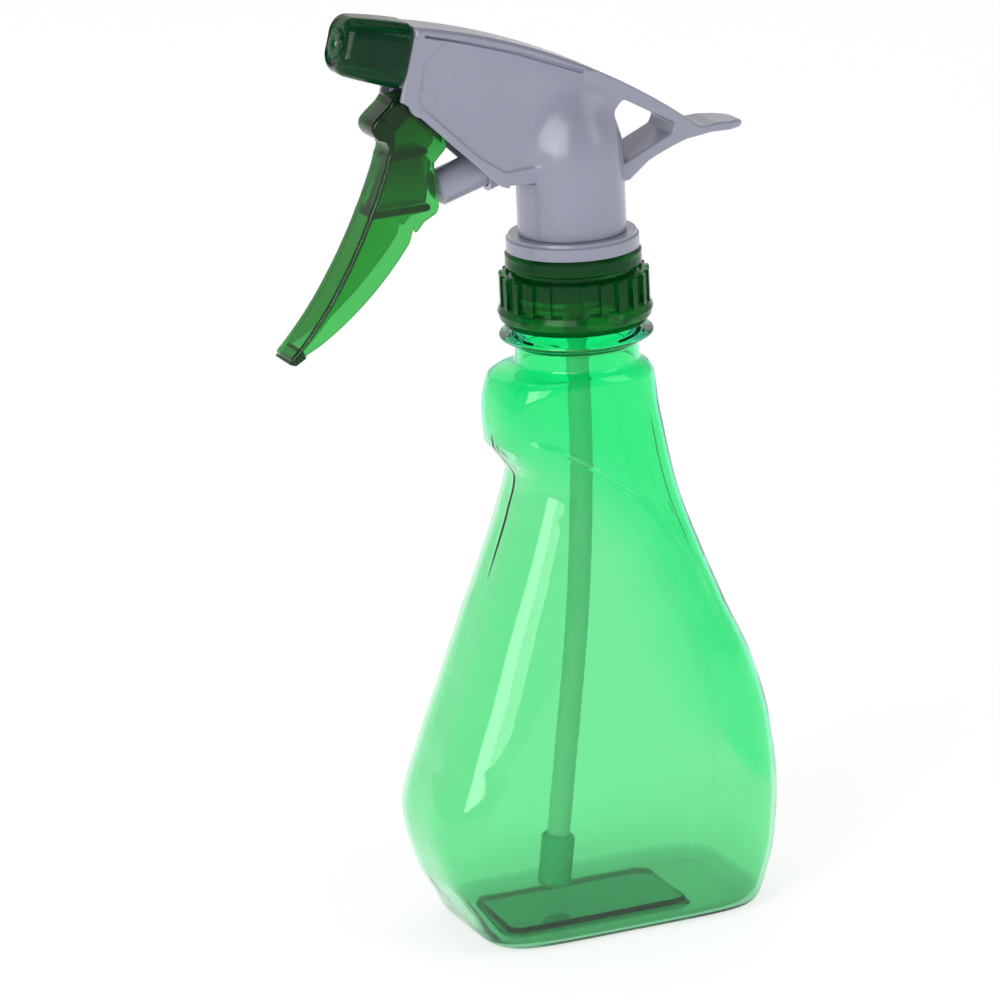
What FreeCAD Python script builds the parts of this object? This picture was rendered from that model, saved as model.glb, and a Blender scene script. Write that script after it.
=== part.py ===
import FreeCAD, Part
import math
import os

import Sketcher

# Hand mister: a trigger-spray head screwed onto a pear-shaped bottle.
# Frame: origin at the middle of the bottle's base on the neck axis, +Z up, nozzle towards -X.
# Units are millimetres and degrees.

DIMENSIONS = {
    # bottle
    "bottle_wall": 1.1,
    "base_half_width": 32.0,
    "base_half_depth": 19.0,
    "belly_half_width": 41.6,
    "belly_half_depth": 22.5,
    "belly_height": 28.0,
    "push_up_length": 42.0,
    "push_up_width": 24.0,
    "push_up_depth": 1.8,
    "shoulder_height": 124.5,
    "shoulder_radius": 13.6,
    "neck_root_radius": 12.1,
    "neck_bore_radius": 10.2,
    "neck_top": 148.0,
    "ring_radius": 16.9,
    "ring_height": 133.5,
    # screw thread shared by the neck and the collar
    "thread_pitch": 4.23,
    "thread_rise": 5.3,
    "neck_thread_radius": 13.4,
    "neck_thread_start": 139.5,
    "collar_root_radius": 13.8,
    "collar_thread_radius": 12.65,
    # collar
    "collar_bottom": 136.0,
    "collar_top": 152.3,
    "collar_skirt_radius": 17.0,
    "collar_bead_radius": 14.9,
    "collar_band_radius": 13.7,
    "sleeve_radius": 15.6,
    "sleeve_top": 147.3,
    "fin_radius": 16.4,
    "fin_width": 1.7,
    "fin_count": 24,
    "gasket_thickness": 1.0,
    # pump body
    "riser_radius": 10.4,
    "riser_wall": 1.3,
    "riser_top": 166.0,
    "flange_radius": 14.5,
    "flange_top": 156.0,
    "column_radius": 4.6,
    "column_bottom": 147.5,
    "column_top": 187.0,
    "passage_radius": 1.5,
    # outlet barrel and nozzle, along an axis that rises towards the front
    "barrel_height": 189.5,
    "barrel_tilt": 15.2,
    "barrel_radius": 3.0,
    "barrel_bore_radius": 1.6,
    "post_radius": 4.2,
    "post_end": 50.6,
    "face_distance": 39.6,
    "nozzle_length": 14.6,
    "nozzle_rear_half": 7.1,
    "nozzle_front_half": 6.1,
    "nozzle_corner_radius": 3.9,
    # pump cylinder, along an axis that rises towards the back
    "cylinder_mouth_x": -21.1,
    "cylinder_mouth_height": 172.6,
    "cylinder_tilt": 17.0,
    "cylinder_radius": 5.25,
    "cylinder_bore_radius": 4.3,
    "cylinder_depth": 17.2,
    "piston_radius": 4.0,
    "piston_reach": 12.2,
    "piston_seat": 4.5,
    "piston_hollow_radius": 2.6,
    # head cover
    "head_half_width": 6.5,
    "head_wall": 1.0,
    "roof_radius": 150.0,
    "sleeve_outer_radius": 11.8,
    "sleeve_inner_radius": 10.55,
    "side_bottom": 168.5,
    "bulge_shoulder": 172.0,
    "bulge_rise": 17.0,
    # trigger
    "pivot_x": -35.6,
    "pivot_height": 189.6,
    "trunnion_radius": 1.45,
    "trunnion_reach": 6.0,
    "socket_clearance": 0.05,
    "trigger_top_half_width": 4.6,
    "trigger_tip_half_width": 5.8,
    "trigger_wall": 1.2,
    # dip tube and valves
    "tube_radius": 2.5,
    "tube_bore_radius": 1.7,
    "tube_top": 156.8,
    "tube_bend_start": 118.0,
    "tube_bend_radius": 450.0,
    "tube_bend_angle": 8.0,
    "tube_tail": 44.3,
    "strainer_radius": 3.7,
    "strainer_length": 11.6,
    "strainer_start": 36.8,
    "inlet_seat_height": 160.0,
    "inlet_ball_radius": 2.0,
    "outlet_seat": 3.2,
    "outlet_ball_radius": 1.4,
}

doc = FreeCAD.newDocument("HandMister")
sheet = doc.addObject("Spreadsheet::Sheet", "Dimensions")
for row, (alias, number) in enumerate(DIMENSIONS.items(), start=1):
    sheet.set(f"A{row}", alias.replace("_", " "))
    sheet.set(f"B{row}", str(number))
    sheet.setAlias(f"B{row}", alias)
doc.recompute()


class Size:
    """A number that keeps the spreadsheet expression it was worked out with."""

    def __init__(self, number, text):
        self.number = number
        self.text = text

    @staticmethod
    def of(thing):
        return thing if isinstance(thing, Size) else Size(float(thing), repr(float(thing)))

    def __add__(self, other):
        other = Size.of(other)
        return Size(self.number + other.number, f"({self.text} + {other.text})")

    def __sub__(self, other):
        other = Size.of(other)
        return Size(self.number - other.number, f"({self.text} - {other.text})")

    def __mul__(self, other):
        other = Size.of(other)
        return Size(self.number * other.number, f"({self.text} * {other.text})")

    def __truediv__(self, other):
        other = Size.of(other)
        return Size(self.number / other.number, f"({self.text} / {other.text})")

    def __radd__(self, other):
        return Size.of(other) + self

    def __rsub__(self, other):
        return Size.of(other) - self

    def __rmul__(self, other):
        return Size.of(other) * self

    def __neg__(self):
        return Size(-self.number, f"(-1 * {self.text})")


def dim(alias):
    return Size(DIMENSIONS[alias], f"Dimensions.{alias}")


def sine(angle):
    return Size(math.sin(math.radians(angle.number)), f"sin({angle.text})")


def cosine(angle):
    return Size(math.cos(math.radians(angle.number)), f"cos({angle.text})")


def bind(thing, name, size):
    """Set a property and tie it to the spreadsheet."""
    thing.setExpression(name, Size.of(size).text)


class Frame:
    """A line in the XZ plane: an origin, and a direction turned from +Z by an angle about +Y."""

    def __init__(self, x, z, turn):
        self.x = Size.of(x)
        self.z = Size.of(z)
        self.turn = Size.of(turn)

    def shifted(self, along, across=0.0):
        x = self.x + along * sine(self.turn) + across * cosine(self.turn)
        z = self.z + along * cosine(self.turn) - across * sine(self.turn)
        return Frame(x, z, self.turn)


UPRIGHT = Frame(0, 0, 0)
BARREL = Frame(0, dim("barrel_height"), dim("barrel_tilt") - 90)
CYLINDER = Frame(dim("cylinder_mouth_x"), dim("cylinder_mouth_height"), 90 - dim("cylinder_tilt"))


def place(thing, frame, y=0.0):
    turn = FreeCAD.Rotation(FreeCAD.Vector(0, 1, 0), frame.turn.number)
    thing.Placement = FreeCAD.Placement(FreeCAD.Vector(frame.x.number, y, frame.z.number), turn)
    bind(thing, ".Placement.Base.x", frame.x)
    bind(thing, ".Placement.Base.z", frame.z)
    if frame is not UPRIGHT:
        bind(thing, ".Placement.Rotation.Angle", frame.turn)
    return thing


# ---------------------------------------------------------------- primitives and booleans

def cylinder(name, radius, start, end, frame=UPRIGHT):
    start, end = Size.of(start), Size.of(end)
    made = doc.addObject("Part::Cylinder", name)
    bind(made, "Radius", radius)
    bind(made, "Height", end - start)
    return place(made, frame.shifted(start) if frame is not UPRIGHT else Frame(0, start, 0))


def cone(name, radius_start, radius_end, start, end, frame=UPRIGHT):
    start, end = Size.of(start), Size.of(end)
    made = doc.addObject("Part::Cone", name)
    bind(made, "Radius1", radius_start)
    bind(made, "Radius2", radius_end)
    bind(made, "Height", end - start)
    return place(made, frame.shifted(start) if frame is not UPRIGHT else Frame(0, start, 0))


def sphere(name, radius, along, frame=UPRIGHT):
    made = doc.addObject("Part::Sphere", name)
    bind(made, "Radius", radius)
    return place(made, frame.shifted(Size.of(along)) if frame is not UPRIGHT else Frame(0, along, 0))


def cross_cylinder(name, radius, half_length, x, z):
    """A cylinder along Y, centred on the middle plane."""
    made = doc.addObject("Part::Cylinder", name)
    bind(made, "Radius", radius)
    bind(made, "Height", Size.of(half_length) * 2)
    turn = FreeCAD.Rotation(FreeCAD.Vector(1, 0, 0), -90)
    x, z, half_length = Size.of(x), Size.of(z), Size.of(half_length)
    made.Placement = FreeCAD.Placement(FreeCAD.Vector(x.number, -half_length.number, z.number), turn)
    bind(made, ".Placement.Base.x", x)
    bind(made, ".Placement.Base.y", -half_length)
    bind(made, ".Placement.Base.z", z)
    return made


def block(name, x0, x1, half_width, z0, z1):
    """A box that is centred on the middle plane."""
    x0, x1, z0, z1 = Size.of(x0), Size.of(x1), Size.of(z0), Size.of(z1)
    half_width = Size.of(half_width)
    made = doc.addObject("Part::Box", name)
    bind(made, "Length", x1 - x0)
    bind(made, "Width", half_width * 2)
    bind(made, "Height", z1 - z0)
    place(made, Frame(x0, z0, 0))
    bind(made, ".Placement.Base.y", -half_width)
    return made


def fuse(name, shapes):
    made = doc.addObject("Part::MultiFuse", name)
    made.Shapes = shapes
    return made


def common(name, shapes):
    made = doc.addObject("Part::MultiCommon", name)
    made.Shapes = shapes
    return made


def cut(name, base, tools):
    made = doc.addObject("Part::Cut", name)
    made.Base = base
    made.Tool = tools[0] if len(tools) == 1 else fuse(name + "_cutters", tools)
    return made


def fillet(name, base, radius, chosen):
    """Round the edges of base that chosen(edge) picks."""
    doc.recompute()
    made = doc.addObject("Part::Fillet", name)
    made.Base = base
    picked = [i for i, edge in enumerate(base.Shape.Edges, start=1) if chosen(edge)]
    made.Edges = [(i, radius, radius) for i in picked]
    return made


def middle(edge):
    return edge.valueAt((edge.FirstParameter + edge.LastParameter) / 2)


# ---------------------------------------------------------------- sketches

def draw(sketch, corners):
    """A closed outline through corners (across, up). A third entry on a corner is the radius of
    the arc from it to the next corner: positive bulges to the right of the way round."""
    spots = [FreeCAD.Vector(Size.of(c[0]).number, Size.of(c[1]).number, 0) for c in corners]
    count = len(corners)
    for i, corner in enumerate(corners):
        start, end = spots[i], spots[(i + 1) % count]
        if len(corner) == 2:
            sketch.addGeometry(Part.LineSegment(start, end), False)
            continue
        radius = Size.of(corner[2]).number
        chord = end - start
        sagitta = abs(radius) - math.sqrt(radius ** 2 - (chord.Length / 2) ** 2)
        right = FreeCAD.Vector(chord.y, -chord.x, 0).normalize()
        bow = (start + end) / 2 + right * math.copysign(sagitta, radius)
        circle = Part.Circle(start, bow, end)
        circle = Part.Circle(circle.Center, FreeCAD.Vector(0, 0, 1), circle.Radius)
        first, last = circle.parameter(start), circle.parameter(end)
        if radius < 0:
            first, last = last, first
        sketch.addGeometry(Part.ArcOfCircle(circle, first, last), False)
    tips = []
    for i, geometry in enumerate(sketch.Geometry):
        first = (geometry.StartPoint - spots[i]).Length < 1e-6
        tips.append((1, 2) if first else (2, 1))
    for i in range(count):
        following = (i + 1) % count
        sketch.addConstraint(Sketcher.Constraint("Coincident", i, tips[i][1], following, tips[following][0]))
        for kind, entry, axis in (("DistanceX", corners[i][0], -2), ("DistanceY", corners[i][1], -1)):
            size = Size.of(entry)
            if abs(size.number) < 1e-9:
                sketch.addConstraint(Sketcher.Constraint("PointOnObject", i, tips[i][0], axis))
                continue
            at = sketch.addConstraint(Sketcher.Constraint(kind, -1, 1, i, tips[i][0], size.number))
            bind(sketch, f"Constraints[{at}]", size)
        if len(corners[i]) == 3:
            size = Size.of(corners[i][2])
            at = sketch.addConstraint(Sketcher.Constraint("Radius", i, abs(size.number)))
            bind(sketch, f"Constraints[{at}]", size if size.number > 0 else -size)
    return sketch


def body_plane(body, role):
    return next(f for f in body.Origin.OriginFeatures if f.Role == role)


def body_sketch(body, name, role, corners):
    sketch = body.newObject("Sketcher::SketchObject", name)
    sketch.AttachmentSupport = (body_plane(body, role), [""])
    sketch.MapMode = "FlatFace"
    return draw(sketch, corners)


def turned(label, profile, frame=UPRIGHT):
    """A body turned about its own Z axis from a half profile of (radius, height) corners."""
    body = doc.addObject("PartDesign::Body", label)
    sketch = body_sketch(body, label + "_profile", "XZ_Plane", profile)
    turn = body.newObject("PartDesign::Revolution", label + "_turn")
    turn.Profile = sketch
    turn.ReferenceAxis = (sketch, ["V_Axis"])
    turn.Angle = 360
    body.Tip = turn
    place(body, frame)
    return body


def side_plate(name, corners, half_width):
    """A plate with the given side outline of (x, z) corners, centred on the middle plane."""
    sketch = doc.addObject("Sketcher::SketchObject", name + "_outline")
    sketch.Placement.Rotation = FreeCAD.Rotation(FreeCAD.Vector(1, 0, 0), 90)
    draw(sketch, corners)
    made = doc.addObject("Part::Extrusion", name)
    made.Base = sketch
    made.DirMode = "Normal"
    made.Solid = True
    made.Symmetric = True
    bind(made, "LengthFwd", Size.of(half_width) * 2)
    return made


def front_plate(name, corners, x0, x1):
    """A prism along X with the given front outline of (y, z) corners."""
    sketch = doc.addObject("Sketcher::SketchObject", name + "_outline")
    stand = FreeCAD.Rotation(FreeCAD.Vector(0, 0, 1), 90) * FreeCAD.Rotation(FreeCAD.Vector(1, 0, 0), 90)
    sketch.Placement = FreeCAD.Placement(FreeCAD.Vector(x0, 0, 0), stand)
    draw(sketch, corners)
    made = doc.addObject("Part::Extrusion", name)
    made.Base = sketch
    made.DirMode = "Normal"
    made.Solid = True
    made.LengthFwd = x1 - x0
    return made


def ridge(body, name, corners):
    """A screw-thread ridge on a body, from a profile of (radius, height) corners."""
    sketch = body_sketch(body, name + "_profile", "XZ_Plane", corners)
    screw = body.newObject("PartDesign::AdditiveHelix", name)
    screw.Profile = sketch
    screw.ReferenceAxis = (sketch, ["V_Axis"])
    screw.Mode = 0
    bind(screw, "Pitch", dim("thread_pitch"))
    bind(screw, "Height", dim("thread_rise"))
    screw.LeftHanded = False
    screw.Reversed = False
    body.Tip = screw
    return screw


# ---------------------------------------------------------------- bottle

SECTION_POINTS = 64

# height, front edge x, rear edge x, half depth, squareness (2 is an ellipse)
BOTTLE_ROWS = [
    (0.0, -dim("base_half_width") + 1.6, dim("base_half_width") - 1.0, dim("base_half_depth"), 6.0),
    (1.6, -dim("base_half_width") - 0.6, dim("base_half_width") + 1.2, dim("base_half_depth") + 1.4, 5.6),
    (6.0, -dim("base_half_width") - 3.4, dim("base_half_width") + 3.4, dim("base_half_depth") + 2.2, 4.8),
    (15.0, -dim("belly_half_width") + 1.6, dim("belly_half_width") - 2.8, dim("belly_half_depth") - 0.7, 4.0),
    (dim("belly_height"), -dim("belly_half_width") - 1.4, dim("belly_half_width") - 1.4,
     dim("belly_half_depth"), 3.6),
    (42.0, -39.0, 39.2, dim("belly_half_depth") - 0.5, 3.4),
    (56.0, -33.6, 35.9, dim("belly_half_depth") - 1.5, 3.2),
    (70.0, -28.2, 30.1, dim("belly_half_depth") - 3.2, 3.1),
    (84.0, -22.4, 24.7, dim("belly_half_depth") - 5.0, 3.0),
    (96.0, -18.0, 20.6, dim("belly_half_depth") - 6.4, 2.9),
    (103.0, -16.2, 19.0, dim("belly_half_depth") - 6.9, 2.8),
    (107.0, -18.4, 18.3, dim("belly_half_depth") - 7.0, 2.8),
    (111.0, -20.9, 17.7, dim("belly_half_depth") - 7.1, 2.8),
    (117.0, -21.2, 16.6, dim("belly_half_depth") - 7.2, 2.8),
    (dim("shoulder_height"), -19.6, 15.8, dim("belly_half_depth") - 7.4, 2.7),
    (dim("shoulder_height") + 2.2, -17.0, 14.8, dim("belly_half_depth") - 8.2, 2.4),
]


def section(height, front, rear, half_depth, squareness):
    """A closed rounded-square curve in a level plane."""
    centre, half_width = (front + rear) / 2, (rear - front) / 2
    points = []
    for step in range(SECTION_POINTS):
        angle = 2 * math.pi * step / SECTION_POINTS
        across, along = math.cos(angle), math.sin(angle)
        reach = (abs(across) ** squareness + abs(along) ** squareness) ** (-1 / squareness)
        points.append(FreeCAD.Vector(centre + half_width * across * reach, half_depth * along * reach,
                                     height))
    curve = Part.BSplineCurve()
    curve.interpolate(points, PeriodicFlag=True)
    return Part.Wire([curve.toShape()])


def bottle_form(inset, floor):
    """The bottle's lofted form, drawn in by inset and cut off flat at the height floor."""
    rows = [tuple(Size.of(entry).number for entry in row) for row in BOTTLE_ROWS]
    under = [row for row in rows if row[0] <= floor]
    rows = [(floor,) + under[-1][1:]] + [row for row in rows if row[0] > floor]
    wires = []
    for height, front, rear, half_depth, squareness in rows:
        wires.append(section(height, front + inset, rear - inset, half_depth - inset, squareness))
    return Part.makeLoft(wires, True, False)


def make_bottle():
    wall = dim("bottle_wall")
    outer = doc.addObject("Part::Feature", "bottle_outer")
    outer.Shape = bottle_form(0.0, 0.0)
    inner = doc.addObject("Part::Feature", "bottle_inner")
    inner.Shape = bottle_form(wall.number, (dim("push_up_depth") + wall).number)

    shoulder, ring = dim("shoulder_height"), dim("ring_height")
    neck, root = dim("shoulder_radius"), dim("neck_root_radius")
    neck_body = turned("bottle_neck", [
        (dim("neck_bore_radius"), shoulder + 0.5),
        (neck, shoulder + 0.5),
        (neck, ring - 1.8),
        (dim("ring_radius") - 0.5, ring - 0.5),
        (dim("ring_radius"), ring),
        (dim("ring_radius") - 0.2, ring + 0.5),
        (root + 1.2, ring + 1.0),
        (root, ring + 1.8),
        (root, dim("neck_top")),
        (dim("neck_bore_radius"), dim("neck_top")),
    ])
    start = dim("neck_thread_start")
    ridge(neck_body, "neck_thread", [
        (root - 0.2, start - 1.0),
        (dim("neck_thread_radius"), start - 0.5),
        (dim("neck_thread_radius"), start + 0.5),
        (root - 0.2, start + 1.0),
    ])
    neck_opening = turned("bottle_neck_opening", [
        (0, shoulder - 1.0),
        (neck - wall, shoulder - 1.0),
        (neck - wall, ring - 2.4),
        (dim("neck_bore_radius"), ring),
        (dim("neck_bore_radius"), dim("neck_top") + 1.0),
        (0, dim("neck_top") + 1.0),
    ])
    push_up = block("bottle_push_up", -dim("push_up_length") / 2 - 1.5, dim("push_up_length") / 2 - 1.5,
                    dim("push_up_width") / 2, -1.0, dim("push_up_depth"))
    return cut("bottle", fuse("bottle_solid", [outer, neck_body]), [inner, neck_opening, push_up])


# ---------------------------------------------------------------- collar and gasket

def make_collar():
    top, bottom = dim("collar_top"), dim("collar_bottom")
    sleeve, sleeve_top = dim("sleeve_radius"), dim("sleeve_top")
    body = turned("screw_collar", [
        (dim("collar_root_radius") + 0.5, bottom),
        (dim("collar_skirt_radius") - 1.5, bottom),
        (dim("collar_skirt_radius") - 0.4, bottom + 1.4),
        (dim("collar_skirt_radius"), bottom + 3.0),
        (dim("collar_skirt_radius") - 0.5, bottom + 4.2),
        (sleeve, bottom + 5.0),
        (sleeve, sleeve_top),
        (sleeve - 0.7, sleeve_top),
        (sleeve - 0.7, sleeve_top - 3.6),
        (sleeve - 1.0, sleeve_top - 4.0),
        (sleeve - 1.0, sleeve_top - 0.7),
        (dim("collar_band_radius"), sleeve_top - 0.3),
        (dim("collar_band_radius"), sleeve_top + 1.2),
        (dim("collar_bead_radius"), sleeve_top + 1.8),
        (dim("collar_bead_radius"), top - 0.6),
        (dim("collar_bead_radius") - 0.6, top),
        (10.6, top),
        (10.6, top - 1.6),
        (12.5, top - 1.6),
        (12.5, sleeve_top - 0.6),
        (dim("collar_root_radius"), sleeve_top - 1.4),
        (dim("collar_root_radius"), bottom + 0.6),
    ])
    start = dim("neck_thread_start") - dim("thread_pitch") / 2
    ridge(body, "collar_thread", [
        (dim("collar_root_radius") + 0.2, start - 1.0),
        (dim("collar_root_radius") + 0.2, start + 1.0),
        (dim("collar_thread_radius"), start + 0.5),
        (dim("collar_thread_radius"), start - 0.5),
    ])
    outline = body_sketch(body, "fin_outline", "XZ_Plane", [
        (sleeve - 0.3, bottom + 3.4),
        (dim("fin_radius") - 0.2, bottom + 3.4),
        (dim("fin_radius"), bottom + 4.6),
        (dim("fin_radius"), sleeve_top - 0.1),
        (sleeve - 0.3, sleeve_top - 0.1),
    ])
    fin = body.newObject("PartDesign::Pad", "fin")
    fin.Profile = outline
    fin.SideType = "Symmetric"
    bind(fin, "Length", dim("fin_width"))
    body.Tip = fin
    ring = body.newObject("PartDesign::PolarPattern", "fins")
    ring.Originals = [fin]
    ring.Axis = (outline, ["V_Axis"])
    ring.Angle = 360
    bind(ring, "Occurrences", dim("fin_count"))
    body.Tip = ring
    return body


def make_gasket():
    low = dim("neck_top")
    return turned("neck_gasket", [
        (9.6, low),
        (12.15, low),
        (12.15, low + dim("gasket_thickness")),
        (9.6, low + dim("gasket_thickness")),
    ])


# ---------------------------------------------------------------- pump body

def make_pump_body():
    deck = dim("neck_top") + dim("gasket_thickness")
    riser, wall = dim("riser_radius"), dim("riser_wall")
    flange = dim("flange_radius")
    shell = turned("riser_shell", [
        (dim("column_radius") - 0.6, deck),
        (8.2, deck),
        (8.2, deck - 4.5),
        (9.3, deck - 4.5),
        (9.3, deck),
        (12.15, deck),
        (12.15, deck + 1.5),
        (10.3, deck + 1.5),
        (10.3, dim("collar_top") + 0.2),
        (flange, dim("collar_top") + 0.2),
        (flange, dim("flange_top") - 0.9),
        (flange - 0.5, dim("flange_top") - 0.6),
        (flange - 0.6, dim("flange_top")),
        (riser, dim("flange_top")),
        (riser, dim("riser_top")),
        (riser - wall, dim("riser_top")),
        (riser - wall, dim("flange_top")),
        (8.8, deck + 3.5),
        (8.8, deck + 2.0),
        (dim("column_radius") - 0.6, deck + 2.0),
    ])
    column = cylinder("column", dim("column_radius"), dim("column_bottom"), dim("column_top"))
    barrel = cylinder("barrel", dim("barrel_radius"), -1.8, 40.0, BARREL)
    post = cylinder("nozzle_post", dim("post_radius"), 36.0, dim("post_end"), BARREL)
    pump_cylinder = cylinder("pump_cylinder", dim("cylinder_radius"), 0.0, dim("cylinder_depth") + 1.6,
                             CYLINDER)
    web = side_plate("cylinder_web", [(-10.2, 164.5), (-3.0, 164.5), (-3.0, 176.0), (-10.2, 174.5)], 0.7)
    solid = fuse("pump_solid", [shell, column, barrel, post, pump_cylinder, web])

    snap_groove = turned("snap_groove", [(3.7, 41.2), (5.0, 41.2), (5.0, 42.8), (3.7, 42.8)], BARREL)
    seal_groove = turned("seal_groove", [(3.58, 47.0), (5.0, 47.0), (5.0, 48.2), (3.58, 48.2)], BARREL)
    return cut("pump_body", solid, [
        cylinder("tube_socket", 3.6, dim("column_bottom") - 1.0, dim("inlet_seat_height")),
        cylinder("inlet_cage", 2.4, dim("inlet_seat_height") - 1.0, dim("inlet_seat_height") + 5.2),
        cylinder("riser_passage", dim("passage_radius"), dim("inlet_seat_height"), dim("barrel_height")),
        cylinder("port", 1.2, 10.0, 22.0, CYLINDER),
        cylinder("pump_bore", dim("cylinder_bore_radius"), -1.0, dim("cylinder_depth"), CYLINDER),
        cylinder("outlet_throat", 1.0, -0.5, dim("outlet_seat") + 1.0, BARREL),
        cylinder("barrel_bore", dim("barrel_bore_radius"), dim("outlet_seat"), dim("post_end"), BARREL),
        cylinder("swirl_pocket", 2.6, 44.5, dim("post_end") + 1.0, BARREL),
        snap_groove,
        seal_groove,
    ])


# ---------------------------------------------------------------- nozzle, insert, seal, spinner

def make_nozzle():
    start = dim("face_distance") + 0.4
    end = start + dim("nozzle_length")
    rings = []
    for name, half, along in (("rear", dim("nozzle_rear_half"), start), ("front", dim("nozzle_front_half"), end)):
        ring = doc.addObject("Sketcher::SketchObject", f"nozzle_{name}_outline")
        draw(ring, [(-half, -half), (half, -half), (half, half), (-half, half)])
        place(ring, BARREL.shifted(along))
        rings.append(ring)
    loft = doc.addObject("Part::Loft", "nozzle_loft")
    loft.Sections = rings
    loft.Solid = True
    axis = FreeCAD.Vector(-cosine(dim("barrel_tilt")).number, 0, sine(dim("barrel_tilt")).number)
    length = dim("nozzle_length").number
    sides = fillet("nozzle_sides", loft, dim("nozzle_corner_radius").number,
                   lambda edge: abs(edge.Length - length) < 1.0)
    front = axis.dot(FreeCAD.Vector(0, 0, dim("barrel_height").number)) + end.number
    rounded = fillet("nozzle_rounded", sides, 1.6, lambda edge: abs(axis.dot(middle(edge)) - front) < 0.01)
    bead = turned("snap_bead", [(3.8, 41.6), (4.6, 41.2), (4.6, 42.8), (3.8, 42.4)], BARREL)
    bored = cut("nozzle_bored", rounded, [
        cylinder("nozzle_bore", dim("post_radius") + 0.08, 38.0, 51.2, BARREL),
        cylinder("insert_pocket", 2.6, 51.0, 54.0, BARREL),
        cone("spray_cone", 0.7, 1.9, 53.9, end + 0.1, BARREL),
        turned("front_recess", [(3.4, end - 0.7), (4.7, end - 0.7), (4.9, end + 0.1), (3.2, end + 0.1)], BARREL),
    ])
    return fuse("nozzle", [bored, bead])


def make_orifice_insert():
    return turned("orifice_insert", [(0.35, 52.2), (2.58, 52.2), (2.58, 54.0), (0.35, 54.0)], BARREL)


def make_nozzle_seal():
    ring = doc.addObject("Part::Torus", "nozzle_seal")
    ring.Radius1 = 3.91
    ring.Radius2 = 0.32
    return place(ring, BARREL.shifted(47.6))


def make_spinner():
    stem = turned("spinner_blank", [
        (0, 15.0), (0.9, 15.0), (1.2, 15.5), (1.2, 44.6), (2.56, 44.6), (2.56, 50.2), (0, 50.2),
    ], BARREL)
    flutes = [block(f"flute_{side}", 0, 1, 0.4, 0, 1) for side in ("upper", "lower")]
    for flute, across in zip(flutes, (1.9, -2.9)):
        flute.Length = 1.0
        flute.setExpression("Height", "5.8")
        place(flute, BARREL.shifted(44.5, across), y=-0.4)
    return cut("spinner", stem, flutes)


# ---------------------------------------------------------------- head cover

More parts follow.
